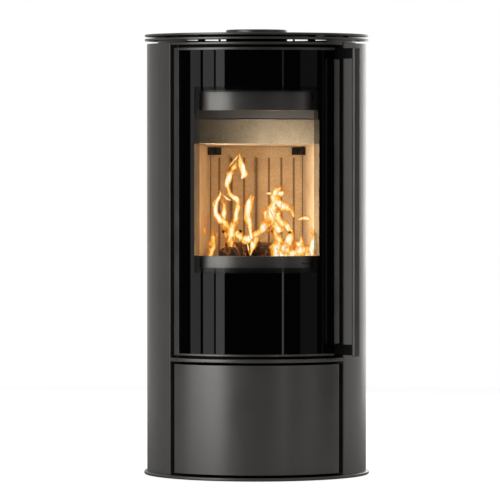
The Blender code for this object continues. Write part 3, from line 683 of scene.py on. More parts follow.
# ------------------------------------------------------------------------ sub-assemblies
@dataclass
class Casing:
    """Base disc, two folded side panels and the perforated rear cover.

    Attributes:
        sheet: Sheet thickness.
        lip: Depth of the fold along a panel's front edge.
        rear_lip: Depth of the fold along its rear edge.
        bend: Rounding of a fold.
        panel_start: Angle of the side panels' front edges.
        panel_end: Angle of their rear edges.
        back_start: Angle of the rear cover's edge.
        air_hole: Radius and height of the air hole in the rear cover.
        slot_size: Length and width of a convection slot.
        slot_heights: Heights of the slots' rows.
        slot_pitch: Degrees between slots.
        screw_heights: Heights of the cover's screws.
        screw_angle: Degrees between a row of screws and the back.
        screw_head: Rise, crown radius and rim radius of a screw head.
        radius: Outer radius of the casing.
    """

    sheet: float = 2.5 * MM
    lip: float = 20.5 * MM
    rear_lip: float = 15 * MM
    bend: float = 2.2 * MM
    panel_start: float = 51.2
    panel_end: float = 150.0
    back_start: float = 150.6
    air_hole: tuple[float, float] = (54 * MM, 0.120)
    slot_size: tuple[float, float] = (26 * MM, 8 * MM)
    slot_heights: tuple[float, ...] = (0.560, 0.600, 0.640)
    slot_pitch: float = 8.0
    screw_heights: tuple[float, ...] = (0.045, 0.300, 0.500, 0.720, 0.935)
    screw_angle: float = 27.6
    screw_head: tuple[float, float, float] = (2.2 * MM, 4.0 * MM, 4.6 * MM)
    radius: float = field(init=False)

    def __post_init__(self) -> None:
        """Take the casing's radius from the side panels."""
        self.radius = half_width("side_panel_right")

    def panel_outline(self) -> np.ndarray:
        """Right panel in plan: outer arc, rear fold, inner arc, front fold, with rounded bends."""
        skin = self.sheet / self.radius * 180 / math.pi
        inner = self.radius - self.sheet
        front = polar(self.radius - self.lip, np.array((self.panel_start + skin, self.panel_start)))
        rear = polar(inner - self.rear_lip, np.array((self.panel_end, self.panel_end - skin)))
        outer_arc = arc(self.radius, self.panel_start, self.panel_end)
        inner_arc = arc(inner, self.panel_end - skin, self.panel_start + skin)
        return rounded(np.vstack((front, outer_arc, rear, inner_arc)), self.bend)

    def build(self) -> None:
        """Make the base, the panels and the rear cover."""
        low, high = z_range("base_plate")
        radius = half_width("base_plate")
        profile = solid_profile([(0.0, high), (radius, high), (radius, low), (0.0, low)], self.bend)
        casing_piece("base_disc", swept(profile), "base_plate")

        low, high = z_range("side_panel_right")
        outline = self.panel_outline()
        for label, plan in (("right", outline), ("left", mirrored(outline))):
            shell = upright(plan, low, high, 0.8 * MM)
            casing_piece("casing_side_" + label, shell, "side_panel_" + label)
        self.build_rear()

    def build_rear(self) -> None:
        """Rear cover with its flue hole, air hole and three rows of convection slots."""
        low, high = z_range("back_panel")
        end = FULL_TURN - self.back_start
        outline = band(self.radius - self.sheet, self.radius, self.back_start, end)
        flue_hole = (half_width("rear_flue_spigot") + 4 * MM, sum(z_range("rear_flue_spigot")) / 2)
        cutters = [
            turned_along(drill(radius, 40 * MM), (0.0, 0.22, height), (0.0, 1.0, 0.0), 90)
            for radius, height in (flue_hole, self.air_hole)
        ]
        x, y = self.slot_size[0] / 2, self.slot_size[1] / 2
        slot = rounded(np.array([(x, -y), (x, y), (-x, y), (-x, -y)]), y - 0.1 * MM)
        stand = upright(slot, 0.215, 0.26, 0.0)
        for height in self.slot_heights:
            for column in range(-2, 3):
                turn = math.radians(column * self.slot_pitch)
                cos, sin = math.cos(turn), math.sin(turn)
                across = np.array(((-cos, 0, sin), (sin, 0, cos), (0, 1, 0)))
                cutters.append(stand.turned(across, (0.0, 0.0, height)))
        shell = upright(outline, low, high, 0.5 * MM)
        casing_piece("rear_cover", shell, "back_panel", cutters=cutters)

        rise, crown, rim = self.screw_head
        head = solid_profile([(0.0, rise), (crown, rise), (rim, 0.0), (0.0, 0.0)], 1.0 * MM)
        screws = []
        for side in (-1, 1):
            for height in self.screw_heights:
                x, y = polar(self.radius - 0.1 * MM, np.array(180.0 + side * self.screw_angle))
                screws.append(turned_along(head, (x, y, height), (x, y, 0.0), 20))
        add_piece("rear_cover_screws", joined(screws), "stove", "zinc_steel", Finish.ZINC)


@dataclass
class TopStack:
    """Casing cap, open spacer ring, top disc, posts, outlet collar and its lid.

    Attributes:
        opening: Radius of the hole in the spacer ring.
        ring_low: Underside of the spacer ring's plate.
        flange_radii: Inner and outer radius of the ring's hanging flanges.
        flange_angles: Angles between which a flange runs.
        cap_front: Radius of the cap over the door.
        cap_rear: Radius of the cap inside the casing.
        cap_angle: Angle at which the cap steps between the two.
        cap_points: Number of points round its front and its rear.
        post_circle: Radius of the circle on which the studs stand.
        stud: Radius of a stud.
        stud_angles: Where the studs stand.
        lid_wall: Thickness of the lid's spigot.
        lid_roof: Thickness of the lid's top.
        gap: Clearance around the collar.
        edge: Rounding of the plates' rims.
    """

    opening: float = 0.185
    ring_low: float = 0.9610
    flange_radii: tuple[float, float] = (0.2180, 0.2200)
    flange_angles: tuple[float, float] = (44.5, 135.5)
    cap_front: float = 0.243
    cap_rear: float = 0.2222
    cap_angle: float = 50.5
    cap_points: tuple[int, int] = (101, 258)
    post_circle: float = 0.198
    stud: float = 2.4 * MM
    stud_angles: tuple[float, ...] = (24.1, 155.9, -155.9, -24.1)
    lid_wall: float = 2.5 * MM
    lid_roof: float = 3.0 * MM
    gap: float = 0.6 * MM
    edge: float = 1.0 * MM

    def ring(self, node: str, inner: float) -> Shell:
        """Flat ring over a CAD plate's height and reach, with rounded rims."""
        low, high = z_range(node)
        return swept(box_profile(inner, half_width(node), low, high, self.edge))

    def build(self) -> None:
        """Make the plates, posts, collar and lid."""
        collar = half_width("flue_collar")
        casing_piece("top_disc", self.ring("top_plate", collar + self.gap), "top_plate")

        low, high = z_range("middle_plate")
        shell = swept(box_profile(self.opening, half_width("middle_plate"), self.ring_low, high, self.edge))
        flange = box_profile(*self.flange_radii, low, self.ring_low + 0.5 * MM)
        for side in (-1, 1):
            shell = shell + swept(flange, *sorted(side * angle for angle in self.flange_angles))
        casing_piece("spacer_ring", shell, "middle_plate")

        low, high = z_range("casing_top_plate")
        front_count, rear_count = self.cap_points
        front = polar(self.cap_front, np.linspace(-self.cap_angle, self.cap_angle, front_count))
        rear = polar(self.cap_rear, np.linspace(self.cap_angle, FULL_TURN - self.cap_angle, rear_count))
        rim = rounded(np.vstack((front, rear)), 1.5 * MM, 45.0)
        hole = swept(drill(collar + self.gap, high - low + 20 * MM), step=3.0)
        hole.points += np.array((0.0, 0.0, low - 10 * MM))
        cap = upright(rim, low, high, 0.8 * MM)
        add_piece("casing_cap", cap, "stove", "black_steel", Finish.CASING_PAINT, "casing_top_plate",
                  cutters=[hole])
        self.build_posts()
        self.build_outlet(collar)

    def build_posts(self) -> None:
        """Six plain turned posts, and the studs that stand under the ring."""
        low, high = z_range("spacer_1")
        radius = (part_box("spacer_1")[1].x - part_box("spacer_1")[0].x) / 2
        profile = solid_profile([(0.0, high), (radius, high), (radius, low), (0.0, low)], 0.6 * MM)
        for number in range(6):
            node = "spacer_%d" % (number + 1)
            box_low, box_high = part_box(node)
            shell = swept(profile, step=9.0)
            shell.points += np.array(((box_low.x + box_high.x) / 2, (box_low.y + box_high.y) / 2, 0.0))
            black_piece("spacer_post_%d" % (number + 1), shell, node)
        low = z_range("casing_top_plate")[1] + 0.3 * MM
        studs = []
        for angle in self.stud_angles:
            stud = swept(drill(self.stud, self.ring_low - 0.4 * MM - low), step=20.0)
            stud.points += np.append(polar(self.post_circle, np.array(angle)), low)
            studs.append(stud)
        add_piece("ring_studs", joined(studs), "stove", "zinc_steel", Finish.PIN_STEEL)

    def build_outlet(self, collar: float) -> None:
        """Top outlet collar and the lid that closes it."""
        low, high = z_range("flue_collar")
        profile = box_profile(collar - 2.8 * MM, collar, low, high, 0.8 * MM)
        black_piece("outlet_collar", swept(profile, step=2.0), "flue_collar")

        low, high = z_range("flue_lid")
        seat = z_range("top_plate")[1] + 0.3 * MM
        plug = collar - 3.6 * MM
        inner = plug - self.lid_wall
        roof = high - self.lid_roof
        corners = [
            (0.0, high), (collar, high), (collar, seat), (plug, seat), (plug, low), (inner, low),
            (inner, roof), (0.0, roof),
        ]
        profile = solid_profile(corners, 2.4 * MM)
        casing_piece("outlet_lid", swept(profile, step=2.0), "flue_lid", body="flue_lid")


@dataclass
class LowerCompartment:
    """Deck, drawer and what holds them.

    Attributes:
        sheet: Sheet thickness.
        front_angle: Half angle of the drawer face.
        fold_radius: How far in the face's side folds reach.
        deck_angle: Half angle of the deck's nose.
        deck_step: Radius and angle at which the deck narrows behind its nose.
        deck_sides: Corners of the right side of the deck, from the front.
    """

    sheet: float = 2.5 * MM
    front_angle: float = 47.9
    fold_radius: float = 0.228
    deck_angle: float = 50.5
    deck_step: tuple[float, float] = (0.2225, 47.0)
    deck_sides: tuple[tuple[float, float], ...] = (
        (0.1610, -0.1500), (0.1610, -0.1270), (0.1720, -0.1270), (0.1720, 0.1500),
    )

    def build(self) -> None:
        """Make the deck and the drawer face, and dress the sheet metal behind them."""
        low, high = z_range("shelf_plate")
        nose = -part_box("shelf_plate")[0].y
        step_radius, step_angle = self.deck_step
        notch = np.vstack((polar(step_radius, np.array((self.deck_angle, step_angle))), self.deck_sides))
        outline = np.vstack((arc(nose, -self.deck_angle, self.deck_angle), notch, mirrored(notch)))
        deck = upright(rounded(outline, 1.5 * MM), low, high, 1.6 * MM)
        casing_piece("deck", deck, "shelf_plate")

        low, high = z_range("drawer_front")
        radius = -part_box("drawer_front")[0].y
        skin = self.sheet / radius * 180 / math.pi
        fold = polar(self.fold_radius, np.array((self.front_angle, self.front_angle - skin)))
        outline = np.vstack((
            arc(radius, -self.front_angle, self.front_angle), fold,
            arc(radius - self.sheet, self.front_angle - skin, skin - self.front_angle), mirrored(fold),
        ))
        face = upright(rounded(outline, 2.2 * MM), low, high, 0.9 * MM)
        casing_piece("drawer_face", face, "drawer_front", body="drawer")
        for node in ("drawer_box", "drawer_rail_left", "drawer_rail_right", "compartment_wall_left",
                     "compartment_wall_right", "ash_pan"):
            dress(node, Finish.ZINC)
        dress("air_slide", Finish.PIN_STEEL)
        for node in ("jamb_left", "jamb_right", "ash_housing", "firebox_support_left",
                     "firebox_support_right"):
            dress(node, Finish.BLACK_PAINT)


@dataclass
class Door:
    """Steel surround, curved pane, rope seal and glass retainers, all on the left hinge.

    Attributes:
        half: Half angle of the door.
        strip: Width of its side strips in degrees.
        inner: Radius of the back of the side strips.
        lip: Radius of the lip that the pane lies behind.
        seam: Angle of the side strips' inner edge behind the pane.
        rail_end: Angle at which the rails' back part stops short of the latch rod.
        channel: Radius and angle of the corners of the latch rod's channel.
        strip_back: Radius behind the arms' openings.
        arm_gap: Clearance above and below the handle's arms.
        pane: Inner radius, outer radius and half angle of the pane.
        retainer: Inner and outer radius of the strips that hold the pane.
        retainer_angles: Angles between which they lie.
        retainer_z: Their heights.
        rope: Radius of the rope seal and of the circle that it follows.
        rope_half: Half angle of the rope's rectangle.
        outer: Radius of the door's face.
    """

    half: float = 47.9
    strip: float = 3.5
    inner: float = 0.2280
    lip: float = 0.2408
    seam: float = 45.0
    rail_end: float = 44.6
    channel: tuple[tuple[float, float], ...] = (
        (0.2280, 47.35), (0.2410, 47.33), (0.2410, 45.47), (0.2280, 45.45),
    )
    strip_back: float = 0.2298
    arm_gap: float = 1.4 * MM
    pane: tuple[float, float, float] = (0.2362, 0.2402, 44.75)
    retainer: tuple[float, float] = (0.2329, 0.2358)
    retainer_angles: tuple[float, float] = (42.9, 44.7)
    retainer_z: tuple[float, float] = (0.285, 0.928)
    rope: tuple[float, float] = (3.3 * MM, 0.2291)
    rope_half: float = 43.75
    outer: float = field(init=False)

    def __post_init__(self) -> None:
        """Take the door's radius from its frame."""
        self.outer = half_width("side_panel_right")

    def strip_outline(self, slot: bool) -> np.ndarray:
        """Right hand strip in plan: deep part, glass lip, and a channel for the latch rod."""
        window = self.half - self.strip
        corners = [polar(self.outer, np.array(a)) for a in np.linspace(window, self.half, 5)]
        corners.append(polar(self.inner, np.array(self.half)))
        if slot:
            corners += [polar(radius, np.array(angle)) for radius, angle in self.channel]
        corners.append(polar(self.inner, np.array(self.seam)))
        corners.append(polar(self.lip, np.array(self.seam)))
        corners.append(polar(self.lip, np.array(window)))
        return rounded(np.array(corners), 0.5 * MM, 30.0)

    def build(self) -> None:
        """Make the surround, the pane, the seal and the retainers."""
        low, high = z_range("door_frame")
        window = self.half - self.strip
        left = upright(mirrored(self.strip_outline(False)), low, high, 0.6 * MM)
        arm_low = z_range("handle_arm_bottom")[1] + self.arm_gap
        arm_high = z_range("handle_arm_top")[0] - self.arm_gap
        right = upright(self.strip_outline(True), arm_low, arm_high, 0.6 * MM)
        shells = [left, right]
        for z_low, z_high in ((low, arm_low), (arm_high, high)):
            profile = box_profile(self.inner, self.strip_back, z_low, z_high)
            shells.append(swept(profile, self.seam, self.half))
        rails = (
            (box_profile(self.lip, self.outer, high - 5.3 * MM, high, 0.8 * MM), -window, window),
            (box_profile(self.inner, self.lip, high - 3.3 * MM, high), -self.seam, self.rail_end),
            (box_profile(self.lip, self.outer, low, low + 4.4 * MM, 0.8 * MM), -window, window),
            (box_profile(self.inner, self.lip, low, low + 2.5 * MM), -self.seam, self.rail_end),
        )
        shells += [swept(*rail) for rail in rails]
        add_piece("door_surround", joined(shells), "door", "door_steel", Finish.DOOR_STEEL, "door_frame")

        low, high = z_range("door_glass")
        back, face, half = self.pane
        pane = swept(box_profile(back, face, low, high, 0.8 * MM), -half, half, 0.75)
        # Glass ceramic, rolled, bent to the door's curve, screen printed with black enamel and fired.
        recipe = PrintedGlass(clear_half_width=0.1246, clear_z=(0.4635, 0.8460), half_tone=0.0115)
        add_piece("door_pane", pane, "door", "door_glass", recipe, "door_glass")
        self.build_seal()
        for label, side in (("right", 1), ("left", -1)):
            ends = sorted(side * angle for angle in self.retainer_angles)
            strip = swept(box_profile(*self.retainer, *self.retainer_z), *ends)
            black_piece("pane_retainer_" + label, strip, "glass_retainer_" + label, body="door")

    def build_seal(self) -> None:
        """Rope bedded around the back of the pane: a round section carried along a curved rectangle."""
        radius, middle = self.rope
        low, high = z_range("door_seal")
        half = self.rope_half
        corner = 1.2                      # degrees left out at each corner, where the rope bends
        corner_rise = 4.8 * MM            # and the same along its upright sides
        across_count, up_count = 90, 120
        top, bottom = high - 4 * MM, low + 4 * MM
        sides = np.linspace(-half + corner, half - corner, across_count)
        rise = np.linspace(bottom + corner_rise, top - corner_rise, up_count)
        angle = np.concatenate((sides, np.full(up_count, half), sides[::-1], np.full(up_count, -half)))
        height = np.concatenate((np.full(across_count, bottom), rise, np.full(across_count, top), rise[::-1]))
        path = np.column_stack((polar(np.full(len(angle), middle), angle), height))
        along = np.roll(path, -1, axis=0) - np.roll(path, 1, axis=0)
        along /= np.linalg.norm(along, axis=1, keepdims=True)
        out = np.column_stack((polar(np.ones(len(angle)), angle), np.zeros(len(angle))))
        across = np.cross(along, out)
        turn = np.linspace(0, 2 * math.pi, 12, endpoint=False)
        cos, sin = np.cos(turn)[None, :, None], np.sin(turn)[None, :, None]
        ring = out[:, None, :] * cos + across[:, None, :] * sin
        points = (path[:, None, :] + radius * ring).reshape(-1, 3)
        shell = Shell(points, quads(len(path), len(turn), True, True))
        add_piece("rope_seal", shell, "door", "seal_rope", Finish.ROPE, "door_seal")


@dataclass
class BarHandle:
    """Full height bar on two arms that turn about the latch rod.

    Attributes:
        pivot_radius: Radius of the rod's axis from the stove's axis.
        pivot_angle: Its angle.
        bar_radius: Radius of the bar's middle.
        width: Width of the bar.
        depth: Depth of the bar.
        hub: Radius of an arm's hub.
        arm: Half thickness of an arm.
    """

    pivot_radius: float = 0.2360
    pivot_angle: float = 46.4
    bar_radius: float = 0.298
    width: float = 18 * MM
    depth: float = 10 * MM
    hub: float = 5.7 * MM
    arm: float = 4.0 * MM

    def turned_plan(self, outline: np.ndarray) -> np.ndarray:
        """An outline drawn towards -Y, turned to the pivot's angle."""
        angle = math.radians(self.pivot_angle)
        cos, sin = math.cos(angle), math.sin(angle)
        return outline @ np.array(((cos, sin), (-sin, cos)))

    def build(self) -> None:
        """Make the bar and its arms, and dress the latch rod."""
        low, high = z_range("handle_bar")
        w, d, r = self.width / 2, self.depth / 2, self.bar_radius
        corners = np.array([(-w, -r - d), (w, -r - d), (w, -r + d), (-w, -r + d)])
        outline = self.turned_plan(rounded(corners, 3.4 * MM))
        bar = upright(outline, low, high, 1.8 * MM)
        casing_piece("bar_grip", bar, "handle_bar", body="handle")

        hub, arm = self.hub, self.arm
        reach = r - d - 0.3 * MM
        spread = math.asin(arm / hub)
        turn = np.linspace(spread, 2 * math.pi - spread, 40)
        round_part = np.column_stack((-hub * np.sin(turn), -self.pivot_radius - hub * np.cos(turn)))
        ends = np.array([(arm, -reach), (-arm, -reach)])
        outline = self.turned_plan(np.vstack((round_part, ends)))
        for label in ("top", "bottom"):
            low, high = z_range("handle_arm_" + label)
            shell = upright(outline, low, high, 1.2 * MM)
            add_piece("grip_arm_" + label, shell, "handle", "black_steel", Finish.HANDLE_ENAMEL,
                      "handle_arm_" + label)
        dress("latch_rod", Finish.ZINC)


@dataclass
class Firebox:
    """Fixed front frame, linings, baffle, bands and what lies behind them.

    Attributes:
        groove: Width and depth of the grooves in the back board.
        groove_pitch: Distance between grooves.
        groove_top: Where they end.
        air_hole: Radius and height of the air holes in the back board.
        air_hole_pitch: Distance between air holes.
        band_radii: Inner and outer radius of the two bands.
        band_angle: Their half angle.
        arrow_angles: Angles of the engraved arrow's point, barb ends and tail.
        arrow_radii: Inner and outer radius of its strokes.
        edge: Rounding of a board's edges.
        bead: Radius of the bead along the baffle's steel nose.
    """

    groove: tuple[float, float] = (3.2 * MM, 6.0 * MM)
    groove_pitch: float = 28 * MM
    groove_top: float = 0.702
    air_hole: tuple[float, float] = (4.2 * MM, 0.535)
    air_hole_pitch: float = 37 * MM
    band_radii: tuple[float, float] = (0.216, 0.219)
    band_angle: float = 40.0
    arrow_angles: tuple[float, float, float] = (26.8, 28.4, 33.0)
    arrow_radii: tuple[float, float] = (0.2185, 0.2194)
    edge: float = 1.2 * MM
    bead: float = 1.1 * MM

    def build(self) -> None:
        """Make the firebox pieces and dress the others."""
        for node in ("firebox_shell", "firebox_floor", "firebox_top", "front_frame", "baffle_bracket_left",
                     "baffle_bracket_right", "air_box", "rear_flue_spigot", "smoke_shelf"):
            dress(node, Finish.BLACK_PAINT)
        for node in ("lining_left", "lining_right", "lining_floor"):
            dress(node, Finish.BOARD)
        for node in ("hinge_pin_top", "hinge_pin_bottom", "latch_keeper_top", "latch_keeper_bottom"):
            dress(node, Finish.PIN_STEEL)
        dress("grate", Finish.IRON)
        for name, node in (("guard_band", "log_guard"), ("air_band", "air_wash_deflector")):
            low, high = z_range(node)
            profile = box_profile(*self.band_radii, low, high, 1.0 * MM)
            shell = swept(profile, -self.band_angle, self.band_angle)
            add_piece(name, shell, "stove", "casing_paint", Finish.BAND_PAINT, node)
        self.build_arrow()
        self.build_back_board()
        self.build_baffle()

    def build_arrow(self) -> None:
        """Thin black arrow on the guard band that shows which way the air lever closes."""
        middle = sum(z_range("log_guard")) / 2 + 8 * MM
        point, barb_end, tail = self.arrow_angles
        inner, outer = self.arrow_radii
        stroke, rise, count = 0.5 * MM, 3.0 * MM, 6
        strokes = [swept(box_profile(inner, outer, middle - stroke, middle + stroke, 0.1 * MM), point, tail)]
        angle = np.linspace(point, barb_end, count)
        for side in (-1, 1):
            height = middle + side * np.linspace(0.0, rise, count)
            corners = [
                np.column_stack((polar(np.full(count, radius), angle), height + shift))
                for radius, shift in ((inner, -stroke), (outer, -stroke), (outer, stroke), (inner, stroke))
            ]
            points = np.stack(corners, axis=1).reshape(-1, 3)
            strokes.append(Shell(points, quads(count, 4, False, True) + end_faces(count, 4)))
        black_piece("air_arrow", joined(strokes))

    def build_back_board(self) -> None:
        """Back board with its upright grooves and a row of air holes."""
        low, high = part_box("lining_back")
        width, depth = self.groove
        cutters = []
        for number in range(-3, 4):
            middle = number * self.groove_pitch
            cutters.append(block((middle - width / 2, low.y - 0.01, low.z - 0.01),
                                 (middle + width / 2, low.y + depth, self.groove_top), 0.1 * MM))
        radius, height = self.air_hole
        for number in range(-2, 3):
            place = (number * self.air_hole_pitch, low.y - 0.01, height)
            cutters.append(turned_along(drill(radius, 40 * MM), place, (0.0, 1.0, 0.0), 24))
        board = add_piece("back_board", block(low, high, self.edge), "stove", "vermiculite",
                          Finish.GROOVED_BOARD, "lining_back", cutters=cutters)
        board.data.shade_flat()

    def build_baffle(self) -> None:
        """Baffle board and its steel nose: an upright strip with a round bead along its lower edge."""
        dress("baffle_plate", Finish.DARKER_BOARD)
        low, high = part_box("baffle_lip")
        strip = block(low, high, 0.4 * MM)
        radius = self.bead
        turn = np.linspace(0.0, math.pi, 9)
        half = high.x - radius
        profile = np.column_stack((radius * np.sin(turn), half * -np.cos(turn)))
        bead = turned_along(profile, (0.0, low.y - 0.2 * MM, low.z + radius), (1.0, 0.0, 0.0), 20)
        add_piece("baffle_nose", strip, "stove", "black_steel", Finish.ASHED_STEEL, "baffle_lip")
        add_piece("baffle_bead", bead, "stove", "black_steel", Finish.ZINC)


@dataclass(frozen=True)
class Softbox:
    """Upright rectangular light that faces the stove's axis.

    Attributes:
        name: Light name.
        azimuths: Plan angles of its two sides, from the front towards +X.
        heights: Lower and upper edge.
        radiance: Brightness of its face, 1 being white.
        distance: How far it stands from the axis.
    """

    name: str
    azimuths: tuple[float, float]
    heights: tuple[float, float]
    radiance: float
    distance: float = 1.8

    def build(self) -> None:
        """Make the light: power = radiance * pi * area."""
        middle = sum(self.azimuths) / 2
        spread = math.radians(abs(self.azimuths[1] - self.azimuths[0]))
        width = 2 * self.distance * math.tan(spread / 2)
        height = self.heights[1] - self.heights[0]
        x, y = polar(self.distance, np.array(middle))
        place = (x, y, sum(self.heights) / 2)
        area_light(self.name, (width, height), self.radiance * math.pi * width * height, place, (90, middle))


SOFTBOXES = (
    Softbox("window_left", (-70.0, -58.0), (-0.2, 1.7), 0.55),
    Softbox("window_middle", (-55.0, -43.0), (-0.2, 1.7), 0.8),
    Softbox("window_right", (-41.0, -32.0), (-0.2, 1.7), 1.05),
    Softbox("strip_low", (25.0, 26.8), (-0.2, 0.5), 1.0),
    Softbox("strip_high", (25.0, 26.8), (0.5, 1.4), 0.25),
    Softbox("right_fill", (44.0, 63.0), (-0.2, 1.6), 0.10),
    Softbox("right_rim", (146.0, 177.0), (0.35, 2.3), 1.9, 3.0),
    Softbox("right_rim_low", (146.0, 177.0), (-0.3, 0.35), 1.4, 3.0),
    Softbox("right_back", (122.0, 145.0), (-0.2, 1.6), 0.29),
    Softbox("right_side", (92.0, 121.0), (-0.2, 1.6), 0.18),
    Softbox("left_rim", (-177.0, -152.0), (-0.3, 2.3), 0.55, 3.0),
    Softbox("left_back", (-151.0, -122.0), (-0.2, 1.6), 0.22),
    Softbox("left_side", (-121.0, -92.0), (-0.2, 1.6), 0.12),
)


@dataclass(frozen=True)
class Ember:
    """Charred wood: black, split into cells by heat, with dull red cracks between some of them."""

    name: str = "charred_birch"
    crack_mm: float = 11.0
    patch_mm: float = 24.0

    def build(self) -> Material:
        """Make the material: cell borders glow where a slow noise is high."""
        material, tree, shader = new_material(self.name)
        place = add_node(tree, "TexCoord").outputs["Object"]
        cells = add_node(
            tree, "TexVoronoi", values={"Scale": 1 / (self.crack_mm * MM)}, links={"Vector": place},
            feature="DISTANCE_TO_EDGE",
        ).outputs["Distance"]
        patches = noise(tree, place, self.patch_mm)
        crack = map_range(tree, cells, (0.0, 0.14), (1.0, 0.0))
        lit = map_range(tree, patches, (0.48, 0.62))
        heat = math_node(tree, "MULTIPLY", crack, lit)
        stops = ((0.1, linear("#000000")), (0.45, linear("#a82c04")), (0.95, linear("#ffb347")))
        glow = ramp(tree, heat, stops)
        tree.links.new(glow, shader.inputs["Emission Color"])
        shader.inputs["Emission Strength"].default_value = 0.3
        char = ramp(tree, patches, ((0.3, linear("#0b0908")), (0.7, linear("#2e2019"))))
        tree.links.new(char, shader.inputs["Base Color"])
        shader.inputs["Roughness"].default_value = 0.9
        raise_surface(tree, shader, cells, 0.9, 1.5)
        return material


@dataclass(frozen=True)
class BurningGas:
    """Flame: a bright body, softer and more orange towards its edges, its tip and its torn hollows."""

    name: str = "wood_gas_flame"
    hollow_mm: float = 22.0
    strand_mm: float = 7.0

    def build(self) -> Material:
        """Make the material: heat falls from the middle line to the edges, less what two noises take away."""
        material, tree, shader = new_material(self.name)
        coordinates = add_node(tree, "TexCoord")
        flow = add_node(tree, "SeparateXYZ", links={0: coordinates.outputs["UV"]})
        drawn = add_node(
            tree, "Mapping", values={"Scale": (1.0, 1.0, 0.45)},
            links={"Vector": coordinates.outputs["Object"]},
        ).outputs[0]
        hollow = noise(tree, drawn, self.hollow_mm, 1.0, 0.9)
        strand = noise(tree, drawn, self.strand_mm, 2.0, 0.9)
        offset = math_node(tree, "MULTIPLY_ADD", flow.outputs["X"], 2.0, -1.0)
        side = math_node(tree, "POWER", math_node(tree, "ABSOLUTE", offset), 1.15)
        body = math_node(tree, "SUBTRACT", 1.0, side)
        tip = math_node(tree, "SUBTRACT", 1.0, math_node(tree, "POWER", flow.outputs["Y"], 6.0))
        body = math_node(tree, "MULTIPLY", body, tip)
        torn = math_node(tree, "MULTIPLY_ADD", hollow, 1.7, -1.05)
        torn = math_node(tree, "ADD", torn, math_node(tree, "MULTIPLY_ADD", strand, 1.1, -0.55))
        warmth = add_node(tree, "Attribute", attribute_name="warmth").outputs["Fac"]
        heat = math_node(tree, "ADD", math_node(tree, "MULTIPLY", body, 1.15), torn)
        heat = math_node(tree, "ADD", heat, warmth)
        stops = (
            (0.15, linear("#b54309")), (0.42, linear("#f08427")), (0.62, linear("#ffc04d")),
            (0.82, linear("#ffea9c")), (1.0, linear("#fffdea")),
        )
        tree.links.new(ramp(tree, heat, stops), shader.inputs["Emission Color"])
        shader.inputs["Emission Strength"].default_value = 1.1
        shader.inputs["Base Color"].default_value = linear("#000000")
        shader.inputs["Specular IOR Level"].default_value = 0.0
        opacity = map_range(tree, heat, (0.12, 0.66), interpolation_type="SMOOTHSTEP")
        edge = map_range(tree, body, (0.0, 0.2))
        tree.links.new(math_node(tree, "MULTIPLY", opacity, edge), shader.inputs["Alpha"])
        return material


@dataclass(frozen=True)
class Tongue:
    """One flame, drawn as a smooth line with a changing width.

    Attributes:
        depth: Its place in Y.
        line: A few points from foot to tip: x, z and half width, all in millimetres.
        warmth: What is added to its heat: below 0 it is thinner and more orange.
    """

    depth: float
    line: tuple[tuple[float, float, float], ...]
    warmth: float = 0.0

    def smooth_line(self, rows: int) -> np.ndarray:
        """Rows of x, z and half width along a Catmull-Rom curve through the line's points.

        Between points B and C the curve is (2B + (C-A)t + (2A-5B+4C-D)t^2 + (3B-A-3C+D)t^3) / 2.
        """
        points = np.array(self.line) * MM
        points = np.vstack((2 * points[0] - points[1], points, 2 * points[-1] - points[-2]))
        place = np.linspace(0.0, len(self.line) - 1.0001, rows)
        span = place.astype(int)
        t = (place - span)[:, None]
        a, b, c, d = (points[span + k] for k in range(4))
        square, cube = 2 * a - 5 * b + 4 * c - d, 3 * b - a - 3 * c + d
        curve = (2 * b + (c - a) * t + square * t**2 + cube * t**3) / 2
        curve[:, 2] = np.maximum(curve[:, 2] * 1.3, 0.3 * MM)
        return curve

    def sheet(self, edge_on: bool) -> tuple[Shell, np.ndarray]:
        """One curved sheet along the line, and its flow map.

        At u from -1 to 1 across the line, the sheet that faces the door lies u half widths beside the line
        and bulges back by 0.35 half width times cos(pi u / 2). The other lies 0.8 u half widths behind it.

        Args:
            edge_on: Whether the sheet stands edge on to the door.

        Returns:
            The surface, and (across, along) from 0 to 1 for each of its points.
        """
        rows, cols = 90, 13
        curve = self.smooth_line(rows)
        along = np.gradient(curve[:, :2], axis=0)
        along /= np.maximum(np.linalg.norm(along, axis=1, keepdims=True), 1e-9)
        u = np.linspace(-1.0, 1.0, cols)[None, :]
        half = curve[:, 2:3]
        x, z = curve[:, 0:1] + 0.0 * u, curve[:, 1:2] + 0.0 * u
        y = self.depth + 0.35 * half * np.cos(math.pi * u / 2)
        if edge_on:
            y = self.depth + u * half * 0.8
        else:
            x = x + along[:, 1:2] * u * half
            z = z - along[:, 0:1] * u * half
        points = np.stack((x, y, z), axis=-1).reshape(-1, 3)
        v = np.linspace(0.0, 1.0, rows)[:, None]
        flow = np.stack((0.5 + 0.5 * u + 0.0 * v, v + 0.0 * u), axis=-1).reshape(-1, 2)
        return Shell(points, quads(rows, cols, False, False)), flow


